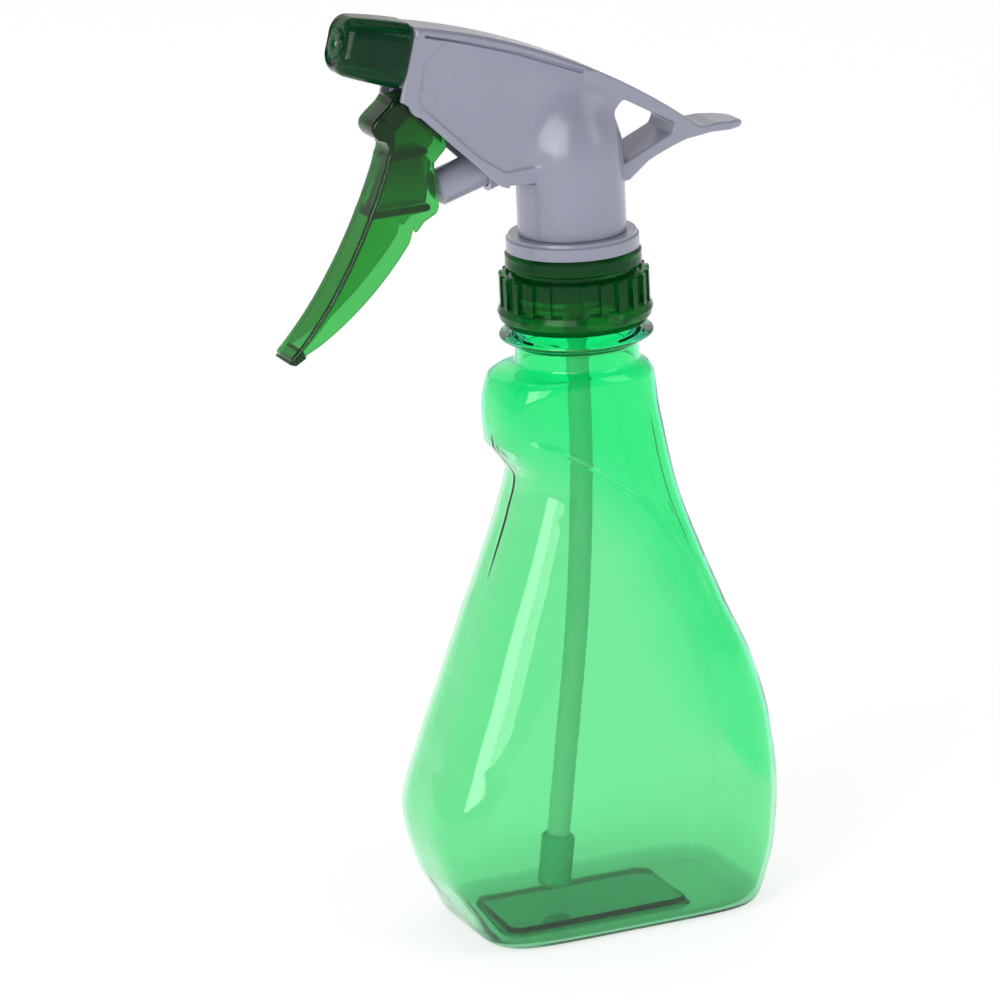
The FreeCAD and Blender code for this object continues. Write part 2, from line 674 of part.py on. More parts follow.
def make_shroud():
    half, wall = dim("head_half_width"), dim("head_wall")
    outer, room = dim("sleeve_outer_radius"), dim("sleeve_inner_radius")
    shoulder, rise = dim("bulge_shoulder"), dim("bulge_rise")
    face = BARREL.shifted(dim("face_distance"))
    sin_tilt, cos_tilt = sine(dim("barrel_tilt")), cosine(dim("barrel_tilt"))
    front_top = (face.x + 6.6 * sin_tilt, face.z + 6.6 * cos_tilt)
    front_low = (face.x - 9.6 * sin_tilt, face.z - 9.6 * cos_tilt)
    hull = side_plate("shroud_side", [
        front_low,
        (-39.3, 189.6),
        (-35.2, 186.1),
        (-21.4, 172.0),
        (-17.6, 169.6),
        (-12.0, dim("side_bottom")),
        (0, dim("side_bottom")),
        (8.0, 166.4),
        (11.4, 166.8),
        (16.2, 170.7, -60.0),
        (25.2, 174.0, -60.0),
        (31.0, 174.6),
        (39.4, 174.2, 0.95),
        (39.5, 175.9),
        (33.0, 176.6),
        (30.2, 176.2),
        (28.2, 176.8, dim("roof_radius")),
        front_top,
    ], half)
    tail_taper = doc.addObject("Sketcher::SketchObject", "tail_plan")
    draw(tail_taper, [(-60.0, -half), (29.0, -half), (38.0, -4.6), (40.4, -2.6), (40.4, 2.6), (38.0, 4.6),
                      (29.0, half), (-60.0, half)])
    plan = doc.addObject("Part::Extrusion", "tail_plan_block")
    plan.Base = tail_taper
    plan.DirMode = "Normal"
    plan.Solid = True
    plan.LengthFwd = 220.0
    sides = common("shroud_sides", [hull, plan])
    rounded = fillet("shroud_rounded", sides, 1.5, is_roof_edge)

    sleeve = cylinder("riser_sleeve", outer, dim("flange_top") + 0.05, shoulder)
    dome = half_ellipsoid("bulge_dome", outer, rise, shoulder)
    outside = fuse("shroud_outside", [rounded, sleeve, dome])

    inside = side_plate("shroud_inside", [
        (front_low[0] + 1.5 * cos_tilt - 3.26, front_low[1] - 12.0),
        (-12.8, 167.2),
        (-12.8, dim("side_bottom") + 0.2),
        (6.0, dim("side_bottom") + 0.2),
        (6.0, 190.15, dim("roof_radius") - 1.0),
        (front_top[0] + 1.5 * cos_tilt - 0.23, front_top[1] - 1.26),
    ], half - wall)
    trigger_door = side_plate("trigger_door", [
        (-46.0, 193.4),
        (-46.0, 180.0),
        (-30.0, 180.0),
        (-30.0, 193.4),
    ], half - wall)
    loop_hole = side_plate("loop_hole", [
        (8.6, 169.7),
        (15.4, 173.1),
        (21.5, 176.0),
        (22.3, 178.0),
        (16.1, 181.8),
        (10.4, 184.8),
        (8.6, 183.4),
        (7.9, 180.8),
    ], half + 1.0)
    shell = cut("shroud_shell", outside, [
        inside,
        trigger_door,
        cut("loop_opening", loop_hole, [
            cylinder("loop_sleeve", outer, 150.0, shoulder),
            half_ellipsoid("loop_dome", outer, rise, shoulder),
        ]),
        cylinder("sleeve_room", room, 150.0, shoulder),
        half_ellipsoid("dome_room", room, rise - 1.2, shoulder),
        cylinder("post_hole", dim("post_radius") + 0.1, 30.0, 42.0, BARREL),
    ])

    pads = []
    for side, name in ((-1, "near"), (1, "far")):
        pad = doc.addObject("Part::Cylinder", f"pivot_pad_{name}")
        pad.Radius = 3.0
        pad.Height = 1.2
        turn = FreeCAD.Rotation(FreeCAD.Vector(1, 0, 0), -90 * side)
        x, z = dim("pivot_x"), dim("pivot_height")
        pad.Placement = FreeCAD.Placement(FreeCAD.Vector(x.number, side * 4.9, z.number), turn)
        bind(pad, ".Placement.Base.x", x)
        bind(pad, ".Placement.Base.z", z)
        pads.append(pad)
    ribs = []
    for name, x in (("front", -27.0), ("rear", -14.0)):
        ribs.append(block(f"{name}_saddle_rib", x - 0.6, x + 0.6, half - wall + 0.3, 189.0, 206.0))
    ribs_inside = common("saddle_ribs", [fuse("rib_blanks", ribs), hull])
    saddles = cut("saddles", ribs_inside, [
        cylinder("saddle_hole", dim("barrel_radius") + 0.02, -5.0, 37.0, BARREL),
        side_plate("below_saddles", [(-32.0, 180.0), (-8.0, 180.0), (-8.0, 190.6), (-32.0, 197.6)], half),
    ])
    sockets = cross_cylinder("pivot_sockets", dim("trunnion_radius") + dim("socket_clearance"),
                             dim("trunnion_reach") + 0.1, dim("pivot_x"), dim("pivot_height"))
    return cut("shroud", fuse("shroud_with_ribs", [shell, saddles] + pads), [sockets])


def is_roof_edge(edge):
    """The long curved edges along both sides of the roof."""
    spot = middle(edge)
    return edge.Length > 50.0 and spot.z > 185.0 and abs(spot.y) > 6.0


def half_ellipsoid(name, radius, rise, height):
    """A dome: the upper half of an ellipsoid that stands on a circle."""
    made = doc.addObject("Part::Ellipsoid", name)
    bind(made, "Radius1", rise)
    bind(made, "Radius2", radius)
    bind(made, "Radius3", radius)
    made.Angle1 = 0
    made.Angle2 = 90
    return place(made, Frame(0, height, 0))


# ---------------------------------------------------------------- trigger

def make_trigger():
    outline = [
        (-41.0, 191.6),
        (-42.4, 189.8),
        (-45.4, 187.0, 2.4),
        (-45.0, 182.8),
        (-43.4, 181.8),
        (-42.9, 180.2),
        (-43.3, 178.6),
        (-47.9, 167.0),
        (-54.4, 155.3, -70.0),
        (-68.0, 137.6, 0.9),
        (-66.8, 136.7),
        (-63.2, 138.6),
        (-56.9, 143.1),
        (-46.1, 151.5, 40.0),
        (-38.7, 160.3),
        (-35.8, 163.6),
        (-32.9, 165.2),
        (-32.25, 166.6),
        (-32.95, 176.0),
        (-29.8, 179.2),
        (-31.6, 187.2),
        (-32.6, 190.6),
        (-34.4, 192.6, 3.3),
        (-37.4, 192.4),
    ]
    blade = side_plate("trigger_blade", outline, 7.0)
    hollow = side_plate("trigger_hollow", [
        (-41.6, 180.2),
        (-42.1, 178.4),
        (-46.7, 166.8),
        (-53.3, 155.0, -70.0),
        (-64.9, 139.8),
        (-50.0, 139.8),
        (-25.0, 160.0),
        (-25.0, 187.0),
        (-38.2, 187.0),
    ], 7.0)
    top, tip = dim("trigger_top_half_width"), dim("trigger_tip_half_width")
    wall = dim("trigger_wall")

    def across(name, inset):
        return front_plate(name, [
            (-(tip - inset), 134.0), (tip - inset, 134.0), (top - inset, 180.0), (top - inset, 196.0),
            (-(top - inset), 196.0), (-(top - inset), 180.0),
        ], -75.0, -20.0)

    outside = common("trigger_outside", [blade, across("trigger_width", 0)])
    inside = common("trigger_inside", [hollow, across("trigger_inner_width", wall)])
    shell = cut("trigger_shell", outside, [inside])

    webs = [
        side_plate("upper_web", [(-42.4, 179.0), (-42.8, 177.8), (-33.6, 178.6), (-33.6, 179.8)], 7.0),
        side_plate("lower_web", [(-47.4, 167.3), (-47.9, 166.1), (-34.2, 166.3), (-34.2, 167.5)], 7.0),
        side_plate("pusher_rib", [(-47.2, 167.0), (-34.1, 167.0), (-32.5, 175.8), (-34.6, 178.6),
                                  (-42.8, 178.6)], 0.9),
    ]
    webs_inside = common("trigger_webs", [fuse("web_blanks", webs), across("web_width", 0.5)])
    trunnions = cross_cylinder("trunnions", dim("trunnion_radius"), dim("trunnion_reach"),
                               dim("pivot_x"), dim("pivot_height"))
    return fuse("trigger", [shell, webs_inside, trunnions])


# ---------------------------------------------------------------- piston, seal, springs, balls

def make_piston():
    radius, reach = dim("piston_radius"), dim("piston_reach")
    hollow, seat = dim("piston_hollow_radius"), dim("piston_seat")
    return turned("piston", [
        (0, -reach, 5.0),
        (radius, -reach + 2.0),
        (radius, 1.4),
        (radius + 0.22, 1.6),
        (radius + 0.22, 2.4),
        (radius, 2.6),
        (radius, 3.6),
        (radius - 0.7, 3.6),
        (radius - 0.7, 6.0),
        (radius + 0.1, 6.0),
        (radius + 0.1, 6.8),
        (hollow, 6.8),
        (hollow, -seat),
        (0, -seat),
    ], CYLINDER)


def make_piston_seal():
    inner, outer = dim("piston_radius") - 0.68, dim("cylinder_bore_radius") - 0.03
    return turned("piston_seal", [
        (inner, 3.7), (outer - 0.25, 3.7), (outer, 4.2), (outer - 0.25, 4.8), (outer, 5.4),
        (outer - 0.25, 5.9), (inner, 5.9),
    ], CYLINDER)


def coil(label, frame, start, end, turns, coil_radius, wire_radius):
    """A compression spring: a round wire swept along a helix."""
    start, end = Size.of(start), Size.of(end)
    helix = doc.addObject("Part::Helix", label + "_path")
    bind(helix, "Height", end - start - 2 * wire_radius)
    bind(helix, "Pitch", (end - start - 2 * wire_radius) / turns)
    bind(helix, "Radius", coil_radius)
    wire = doc.addObject("Part::Circle", label + "_wire")
    wire.Radius = wire_radius
    turn = FreeCAD.Rotation(FreeCAD.Vector(1, 0, 0), 90)
    wire.Placement = FreeCAD.Placement(FreeCAD.Vector(coil_radius, 0, 0), turn)
    doc.recompute()
    sweep = doc.addObject("Part::Sweep", label)
    sweep.Sections = [wire]
    sweep.Spine = (helix, [f"Edge{i + 1}" for i in range(len(helix.Shape.Edges))])
    sweep.Solid = True
    sweep.Frenet = True
    return place(sweep, frame.shifted(start + wire_radius))


def make_tube_retainer():
    seat = dim("inlet_seat_height")
    bottom = dim("column_bottom")
    return turned("tube_retainer", [
        (dim("tube_radius") + 0.02, bottom - 1.2),
        (4.4, bottom - 1.2),
        (4.4, bottom),
        (3.58, bottom),
        (3.58, seat),
        (1.3, seat),
        (1.3, dim("tube_top") + 0.2),
        (dim("tube_radius") + 0.02, dim("tube_top") + 0.2),
    ])


# ---------------------------------------------------------------- dip tube and strainer

def tube_end_frame():
    """The frame at the end of the tube's bend, looking down along its straight tail."""
    bend, angle = dim("tube_bend_radius"), dim("tube_bend_angle")
    x = -bend * (1 - cosine(angle))
    z = dim("tube_bend_start") - bend * sine(angle)
    return Frame(x, z, angle + 180)


def make_dip_tube():
    """Straight down from the retainer, one gentle bend towards the front, and a straight tail."""
    end = tube_end_frame()
    foot = end.shifted(dim("tube_tail"))
    angle, bend = dim("tube_bend_angle"), dim("tube_bend_radius")
    half = Size(angle.number / 2, f"({angle.text} / 2)")
    half_x = -bend.number * (1 - math.cos(math.radians(half.number)))
    half_z = dim("tube_bend_start").number - bend.number * math.sin(math.radians(half.number))
    top = FreeCAD.Vector(0, 0, dim("tube_top").number)
    start = FreeCAD.Vector(0, 0, dim("tube_bend_start").number)
    middle_of_bend = FreeCAD.Vector(half_x, 0, half_z)
    after = FreeCAD.Vector(end.x.number, 0, end.z.number)
    last = FreeCAD.Vector(foot.x.number, 0, foot.z.number)
    path = Part.Wire([
        Part.LineSegment(top, start).toShape(),
        Part.Arc(start, middle_of_bend, after).toShape(),
        Part.LineSegment(after, last).toShape(),
    ])
    tubes = []
    for radius in (dim("tube_radius"), dim("tube_bore_radius")):
        ring = Part.Wire([Part.Circle(top, FreeCAD.Vector(0, 0, 1), radius.number).toShape()])
        tubes.append(path.makePipeShell([ring], True, False))
    made = doc.addObject("Part::Feature", "dip_tube")
    made.Shape = tubes[0].cut(tubes[1])
    return made


def make_strainer():
    end = tube_end_frame()
    start = dim("strainer_start")
    radius, length = dim("strainer_radius"), dim("strainer_length")
    sleeve = turned("strainer_sleeve", [
        (dim("tube_radius") + 0.02, start),
        (radius - 0.5, start),
        (radius, start + 0.6),
        (radius, start + length - 0.8),
        (radius - 0.5, start + length),
        (2.9, start + length),
        (2.9, dim("tube_tail") + 0.1),
        (dim("tube_radius") + 0.02, dim("tube_tail") + 0.1),
    ], end)
    return sleeve


def make_screen():
    """A thin disc with four slots that water is drawn through."""
    end = tube_end_frame()
    level = dim("strainer_start") + dim("strainer_length") - 2.2
    disc = turned("screen_blank", [(0, level), (2.88, level), (2.88, level + 0.6), (0, level + 0.6)], end)
    holes = []
    for number in range(4):
        hole = doc.addObject("Part::Cylinder", f"screen_hole_{number + 1}")
        hole.Radius = 0.55
        hole.Height = 3.0
        angle = math.pi / 4 + number * math.pi / 2
        across, aside = 1.5 * math.cos(angle), 1.5 * math.sin(angle)
        place(hole, end.shifted(level - 1.0, across), y=aside)
        holes.append(hole)
    return cut("strainer_screen", disc, holes)


# ---------------------------------------------------------------- make, check and write every node

NODES = {
    "bottle": make_bottle(),
    "screw_collar": make_collar(),
    "neck_gasket": make_gasket(),
    "pump_body": make_pump_body(),
    "shroud": make_shroud(),
    "trigger": make_trigger(),
    "nozzle": make_nozzle(),
    "orifice_insert": make_orifice_insert(),
    "nozzle_seal": make_nozzle_seal(),
    "spinner": make_spinner(),
    "piston": make_piston(),
    "piston_seal": make_piston_seal(),
    "return_spring": coil("return_spring", CYLINDER, -dim("piston_seat"), dim("cylinder_depth"), 9, 2.15, 0.3),
    "tube_retainer": make_tube_retainer(),
    "inlet_ball": sphere("inlet_ball", dim("inlet_ball_radius"), dim("inlet_seat_height") + 1.56),
    "outlet_ball": sphere("outlet_ball", dim("outlet_ball_radius"), dim("outlet_seat") + 1.02, BARREL),
    "outlet_spring": coil("outlet_spring", BARREL, dim("outlet_seat") + 2.45, 14.95, 6, 1.2, 0.2),
    "dip_tube": make_dip_tube(),
    "intake_strainer": make_strainer(),
    "strainer_screen": make_screen(),
}

doc.recompute()
for thing in doc.Objects:
    if "Invalid" in thing.State or "Error" in thing.State:
        raise RuntimeError(f"{thing.Name} did not compute: {thing.State}")

os.makedirs("parts", exist_ok=True)
for node, thing in NODES.items():
    thing.Label = node
    shape = thing.Shape
    if shape.isNull() or not shape.isValid() or shape.Volume <= 0:
        raise RuntimeError(f"{node} has no valid shape")
    shape.exportStep(f"parts/{node}.step")
    print(f"{node}: {len(shape.Solids)} solid(s), {shape.Volume:.1f} mm3")
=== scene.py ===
"""Looks of the hand mister: a see-through green bottle with a white trigger-spray head.

Lengths are written in millimetres and turned into metres when a mesh is made.
The nozzle points along -X, +Z is up, and the head is symmetric about the XZ plane.
"""

import math

import bpy
import numpy as np
from mathutils import Matrix, Vector


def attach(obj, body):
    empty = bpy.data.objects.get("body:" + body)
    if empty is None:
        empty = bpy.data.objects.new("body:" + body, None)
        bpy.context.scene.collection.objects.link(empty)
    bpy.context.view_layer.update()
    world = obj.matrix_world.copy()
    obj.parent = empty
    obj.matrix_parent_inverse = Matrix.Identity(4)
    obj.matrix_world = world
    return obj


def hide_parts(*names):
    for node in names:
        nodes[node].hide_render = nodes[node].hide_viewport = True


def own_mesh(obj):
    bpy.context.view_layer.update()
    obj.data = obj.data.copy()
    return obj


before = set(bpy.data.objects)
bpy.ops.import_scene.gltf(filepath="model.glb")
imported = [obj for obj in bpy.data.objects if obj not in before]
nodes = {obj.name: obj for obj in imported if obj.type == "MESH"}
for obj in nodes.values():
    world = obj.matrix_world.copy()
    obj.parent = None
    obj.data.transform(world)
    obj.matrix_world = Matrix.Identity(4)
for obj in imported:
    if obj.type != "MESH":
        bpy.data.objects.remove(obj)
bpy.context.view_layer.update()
MM = 0.001


def tilted(x, z, degrees, sign):
    """A line in the XZ plane that starts at (x, z) and rises by some degrees towards -X or +X."""
    a = math.radians(degrees)
    return {"x": x, "z": z, "dx": sign * math.cos(a), "dz": math.sin(a)}


# the outlet barrel with the nozzle on its end, and the pump cylinder from its mouth inwards
BARREL = tilted(0.0, 189.5, 15.2, -1)
CYLINDER = tilted(-21.1, 172.6, 17.0, 1)
# the line on which the trigger's trunnions turn, as (x, z)
PIVOT = (-35.6, 189.6)


def on_axis(line, x, y, z):
    """Distance along a line, distance across it in the XZ plane, and distance from it."""
    px, pz = x - line["x"], z - line["z"]
    along = px * line["dx"] + pz * line["dz"]
    across = pz * line["dx"] - px * line["dz"]
    return along, across, np.hypot(across, y)


def at(line, along, across=0.0):
    """The (x, z) of a point along a line and then upwards from it, square to the line."""
    up = math.copysign(1.0, line["dx"]) * across
    return (line["x"] + along * line["dx"] - up * line["dz"],
            line["z"] + along * line["dz"] + up * line["dx"])


# ---------------------------------------------------------------- signed distance shapes

def step(low, high, value):
    """0 up to low and 1 from high on, with a smooth rise between them."""
    t = np.clip((value - low) / (high - low), 0.0, 1.0)
    return t * t * (3.0 - 2.0 * t)


def both(a, b, radius):
    """Where a and b overlap, with the meeting edge rounded."""
    corner = np.hypot(np.maximum(a + radius, 0.0), np.maximum(b + radius, 0.0))
    return np.minimum(-radius, np.maximum(a, b)) + corner


def either(a, b, radius):
    """a and b together, with a rounded fillet where they meet."""
    corner = np.hypot(np.maximum(radius - a, 0.0), np.maximum(radius - b, 0.0))
    return np.maximum(radius, np.minimum(a, b)) - corner


def melt(a, b, width):
    """a and b together with a soft blend, which may be wider in some places than in others."""
    h = np.clip(0.5 + 0.5 * (b - a) / width, 0.0, 1.0)
    return b + (a - b) * h - width * h * (1.0 - h)


def without(a, b, radius):
    """a with b cut out of it, with the edge of the cut rounded."""
    return both(a, -b, radius)


def outline(points, u, v):
    """Signed distance to a closed outline, negative inside."""
    nearest, sign = None, 1.0
    for i in range(len(points)):
        (ax, ay), (bx, by) = points[i], points[i - 1]
        ex, ey = bx - ax, by - ay
        wx, wy = u - ax, v - ay
        t = np.clip((wx * ex + wy * ey) / (ex * ex + ey * ey), 0.0, 1.0)
        square = (wx - ex * t) ** 2 + (wy - ey * t) ** 2
        nearest = square if nearest is None else np.minimum(nearest, square)
        up, below, left = v >= ay, v < by, ex * wy > ey * wx
        flip = (up & below & left) | (~up & ~below & ~left)
        sign = np.where(flip, -sign, sign)
    return sign * np.sqrt(nearest)


def softened(corners, steps=7):
    """Corners (u, v, radius) as a polyline with each corner rounded to its radius."""
    points = []
    count = len(corners)
    for i, corner in enumerate(corners):
        here = np.array(corner[:2], float)
        radius = corner[2] if len(corner) > 2 else 0.0
        before = np.array(corners[i - 1][:2], float) - here
        after = np.array(corners[(i + 1) % count][:2], float) - here
        room = 0.49 * min(np.linalg.norm(before), np.linalg.norm(after))
        before /= np.linalg.norm(before)
        after /= np.linalg.norm(after)
        half = 0.5 * math.acos(max(-1.0, min(1.0, float(before @ after))))
        if radius <= 0.0 or half > 1.55:
            points.append(tuple(here))
            continue
        reach = min(radius / math.tan(half), room)
        for k in range(steps + 1):
            t = k / steps
            a, b = here + before * reach * (1 - t), here + after * reach * t
            points.append(tuple(a * (1 - t) + b * t))
    return points


def bowed(start, end, radius, steps=24):
    """Points of the arc between two points, which bulges to the left if the radius is positive."""
    start, end = np.array(start, float), np.array(end, float)
    chord = end - start
    half = np.linalg.norm(chord) / 2
    left = np.array([-chord[1], chord[0]]) / (2 * half)
    rise = abs(radius) - math.sqrt(radius ** 2 - half ** 2)
    side = math.copysign(1.0, radius)
    centre = (start + end) / 2 - left * side * (abs(radius) - rise)
    out = []
    for k in range(steps + 1):
        s = -half + 2 * half * k / steps
        height = math.sqrt(radius ** 2 - s ** 2)
        out.append(tuple(centre + chord / (2 * half) * s + left * side * height))
    return out


# ---------------------------------------------------------------- meshes

def make_object(name, points, faces, body):
    """A smooth-shaded object from points in millimetres, which rides on a body."""
    mesh = bpy.data.meshes.new(name)
    places = (np.asarray(points, float) * MM).tolist()
    mesh.from_pydata(places, [], [list(map(int, f)) for f in faces])
    mesh.update()
    mesh.polygons.foreach_set("use_smooth", [True] * len(mesh.polygons))
    made = bpy.data.objects.new(name, mesh)
    bpy.context.scene.collection.objects.link(made)
    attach(made, body)
    return made


def skin(field, low, high, cell, pulls=4):
    """The zero surface of a distance field as quads, one point to each cell that it crosses.

    The points are then pulled onto the surface along the field's slope.
    """
    low, high = np.array(low, float), np.array(high, float)
    count = np.ceil((high - low) / cell).astype(int) + 1
    ticks = [(low[k] + cell * np.arange(count[k])).astype(np.float32) for k in range(3)]
    x, y, z = np.meshgrid(*ticks, indexing="ij", sparse=True)
    value = np.broadcast_to(field(x, y, z), tuple(count)).copy()
    inside = value < 0.0
    corners = np.zeros(tuple(count - 1), int)

    def part(array, shift):
        return array[tuple(slice(s, array.shape[a] - 1 + s) for a, s in enumerate(shift))]

    for shift in np.ndindex(2, 2, 2):
        corners += part(inside, shift)
    active = (corners > 0) & (corners < 8)
    index = np.full(active.shape, -1)
    index[active] = np.arange(active.sum())
    place = np.zeros((active.sum(), 3))
    hits = np.zeros(active.sum())
    for axis in range(3):
        others = [a for a in range(3) if a != axis]
        for i in (0, 1):
            for j in (0, 1):
                start = [0, 0, 0]
                start[others[0]], start[others[1]] = i, j
                end = list(start)
                end[axis] = 1
                a, b = part(value, start)[active], part(value, end)[active]
                crossing = (a < 0.0) != (b < 0.0)
                t = np.where(crossing, a / np.where(crossing, a - b, 1.0), 0.0)
                offset = np.tile(np.array(start, float), (len(t), 1))
                offset[:, axis] += t
                place[crossing] += offset[crossing]
                hits += crossing
    place /= hits[:, None]
    base = np.argwhere(active)
    points = low + cell * (base + place)
    faces = []
    for axis in range(3):
        others = [a for a in range(3) if a != axis]
        start = [slice(1, -1)] * 3
        start[axis] = slice(0, -1)
        end = [slice(1, -1)] * 3
        end[axis] = slice(1, None)
        a, b = inside[tuple(start)], inside[tuple(end)]
        for leaving in (True, False):
            spots = np.argwhere((a != b) & (a == leaving))
            spots[:, others[0]] += 1
            spots[:, others[1]] += 1
            ring = []
            for i, j in ((0, 0), (1, 0), (1, 1), (0, 1)):
                cellspot = spots.copy()
                cellspot[:, others[0]] -= i
                cellspot[:, others[1]] -= j
                ring.append(index[tuple(cellspot.T)])
            ring = np.stack(ring, 1)
            turn = leaving if axis != 1 else not leaving
            faces.append(ring if turn else ring[:, ::-1])
    faces = np.concatenate(faces)
    small, longest, flattest = 0.05 * cell, 0.4 * cell, 0.05
    for _ in range(pulls):
        here = field(*points.T)
        slope = np.stack([(field(*(points + d).T) - field(*(points - d).T)) / (2 * small)
                          for d in np.eye(3) * small], 1)
        size = np.maximum((slope ** 2).sum(1), flattest)
        move = -slope * (here / size)[:, None]
        length = np.linalg.norm(move, axis=1)
        move *= np.minimum(1.0, longest / np.maximum(length, 1e-9))[:, None]
        points = points + move
    return points, faces


def tube(line, radius, sides=12):
    """A round rod along a polyline of points, with its ends closed."""
    line = np.asarray(line, float)
    tangent = np.gradient(line, axis=0)
    tangent /= np.linalg.norm(tangent, axis=1)[:, None]
    side = np.cross(tangent[0], (0.3, 1.0, 0.2))
    points, faces = [], []
    for p, t in zip(line, tangent):
        side = side - t * (side @ t)
        side /= np.linalg.norm(side)
        other = np.cross(t, side)
        for k in range(sides):
            a = 2 * math.pi * k / sides
            points.append(p + radius * (math.cos(a) * side + math.sin(a) * other))
    for i in range(len(line) - 1):
        for k in range(sides):
            a, b = i * sides + k, i * sides + (k + 1) % sides
            faces.append((a, b, b + sides, a + sides))
    faces.append(tuple(reversed(range(sides))))
    faces.append(tuple(range((len(line) - 1) * sides, len(line) * sides)))
    return points, faces


# ---------------------------------------------------------------- materials

class Look:
    """A procedural material: a Principled shader with helpers that feed it from textures."""

    def __init__(self, name):
        self.material = bpy.data.materials.new(name)
        self.material.use_nodes = True
        self.tree = self.material.node_tree
        self.shader = self.tree.nodes["Principled BSDF"]
        self.output = self.tree.nodes["Material Output"]
        self.place = self.tree.nodes.new("ShaderNodeTexCoord").outputs["Object"]

    def set(self, **values):
        """Sets the shader's own sockets, with _ for each space in a socket's name."""
        for name, value in values.items():
            self.shader.inputs[name.replace("_", " ")].default_value = value

    def join(self, a, b):
        self.tree.links.new(a, b)

    def noise(self, scale, detail=3.0, roughness=0.55, stretch=None):
        node = self.tree.nodes.new("ShaderNodeTexNoise")
        node.inputs["Scale"].default_value = scale
        node.inputs["Detail"].default_value = detail
        node.inputs["Roughness"].default_value = roughness
        source = self.place
        if stretch:
            mapping = self.tree.nodes.new("ShaderNodeMapping")
            mapping.inputs["Scale"].default_value = stretch
            self.join(source, mapping.inputs["Vector"])
            source = mapping.outputs["Vector"]
        self.join(source, node.inputs["Vector"])
        return node.outputs["Fac"]

    def spread(self, source, low, high, start=0.3, end=0.7):
        """The source's values from start to end, spread over low to high."""
        node = self.tree.nodes.new("ShaderNodeMapRange")
        node.inputs["From Min"].default_value = start
        node.inputs["From Max"].default_value = end
        node.inputs["To Min"].default_value = low
        node.inputs["To Max"].default_value = high
        self.join(source, node.inputs["Value"])
        return node.outputs["Result"]

    def blend(self, factor, first, second):
        node = self.tree.nodes.new("ShaderNodeMix")
        node.data_type = "RGBA"
        self.join(factor, node.inputs["Factor"])
        for socket, colour in ((node.inputs["A"], first), (node.inputs["B"], second)):
            if isinstance(colour, bpy.types.NodeSocket):
                self.join(colour, socket)
            else:
                socket.default_value = (*colour, 1.0)
        return node.outputs["Result"]

    def attribute(self, name):
        node = self.tree.nodes.new("ShaderNodeAttribute")
        node.attribute_name = name
        return node.outputs["Fac"]

    def colour(self, source):
        self.join(source, self.shader.inputs["Base Color"])

    def roughness(self, source):
        self.join(source, self.shader.inputs["Roughness"])

    def bump(self, source, strength, distance):
        node = self.tree.nodes.new("ShaderNodeBump")
        node.inputs["Strength"].default_value = strength
        node.inputs["Distance"].default_value = distance
        self.join(source, node.inputs["Height"])
        self.join(node.outputs["Normal"], self.shader.inputs["Normal"])

    def absorb(self, colour, density):
        """Light is taken up on its way through the solid, by (1 - colour) * density per metre."""
        node = self.tree.nodes.new("ShaderNodeVolumeAbsorption")
        node.inputs["Color"].default_value = (*colour, 1.0)
        node.inputs["Density"].default_value = density
        self.join(node.outputs["Volume"], self.output.inputs["Volume"])

    def mottled(self, scale, detail, first, second):
        """Two colours in soft patches."""
        return self.blend(self.spread(self.noise(scale, detail), 0.0, 1.0), first, second)


def clear_bottle():
    """Clear tinted PET, deeper in colour above the crease, and dark in its thick foot with painted
    shade for the shadowed floor seen through the base.
    """
    look = Look("bottle_pet")
    look.set(Transmission_Weight=1.0, IOR=1.45)
    pale = look.mottled(34.0, 2.0, (0.40, 0.91, 0.56), (0.36, 0.89, 0.53))
    deep = look.mottled(34.0, 2.0, (0.085, 0.92, 0.45), (0.065, 0.90, 0.43))
    # painted shade: this dark green stands for the shadowed floor seen through the bottle's foot
    dark = look.mottled(120.0, 2.0, (0.001, 0.20, 0.07), (0.003, 0.26, 0.09))
    body = look.blend(look.attribute("upper"), pale, deep)
    look.colour(look.blend(look.attribute("base"), body, dark))
    look.roughness(look.spread(look.noise(260.0, 4.0), 0.015, 0.05))
    look.bump(look.noise(70.0, 2.0), 0.10, 0.0012)
    return look.material


def tinted(name, first, second, taken, density, rough, grain, clear, ior, thick=None):
    """See-through polypropylene, with a darker colour where the plastic is thick."""
    look = Look(name)
    look.set(Transmission_Weight=clear, IOR=ior)
    body = look.mottled(90.0, 3.0, first, second)
    look.colour(look.blend(look.attribute("thick"), body, thick) if thick else body)
    look.roughness(look.spread(look.noise(grain, 4.0), *rough))
    look.bump(look.noise(grain, 3.0), 0.02, 0.0002)
    look.absorb(taken, density)
    return look.material


def moulded(name, first, second, rough, grain=900.0, bump=0.08, sss=0.0, coat=0.0):
    """Opaque or milky moulded plastic."""
    look = Look(name)
    look.set(IOR=1.49, Subsurface_Weight=sss, Subsurface_Scale=0.004, Coat_Weight=coat,
             Coat_Roughness=0.12)
    look.colour(look.mottled(55.0, 4.0, first, second))
    look.roughness(look.spread(look.noise(grain, 4.0), *rough))
    look.bump(look.noise(grain, 4.0), bump, 0.00015)
    return look.material


def steel(name):
    """Drawn stainless wire and ground balls."""
    look = Look(name)
    look.set(Metallic=1.0)
    drawn = look.noise(2600.0, 3.0, stretch=(1.0, 1.0, 0.15))
    look.colour(look.blend(look.spread(drawn, 0.0, 1.0), (0.62, 0.62, 0.64), (0.78, 0.78, 0.80)))
    look.roughness(look.spread(drawn, 0.16, 0.34))
    look.bump(drawn, 0.05, 0.00008)
    return look.material


def grained(name):
    """The strainer's rough polyethylene."""
    look = Look(name)
    look.set(IOR=1.49)
    look.colour(look.mottled(700.0, 3.0, (0.10, 0.62, 0.40), (0.16, 0.72, 0.48)))
    look.roughness(look.spread(look.noise(1500.0, 3.0), 0.35, 0.6))
    look.bump(look.noise(1800.0, 3.0), 0.3, 0.0002)
    return look.material


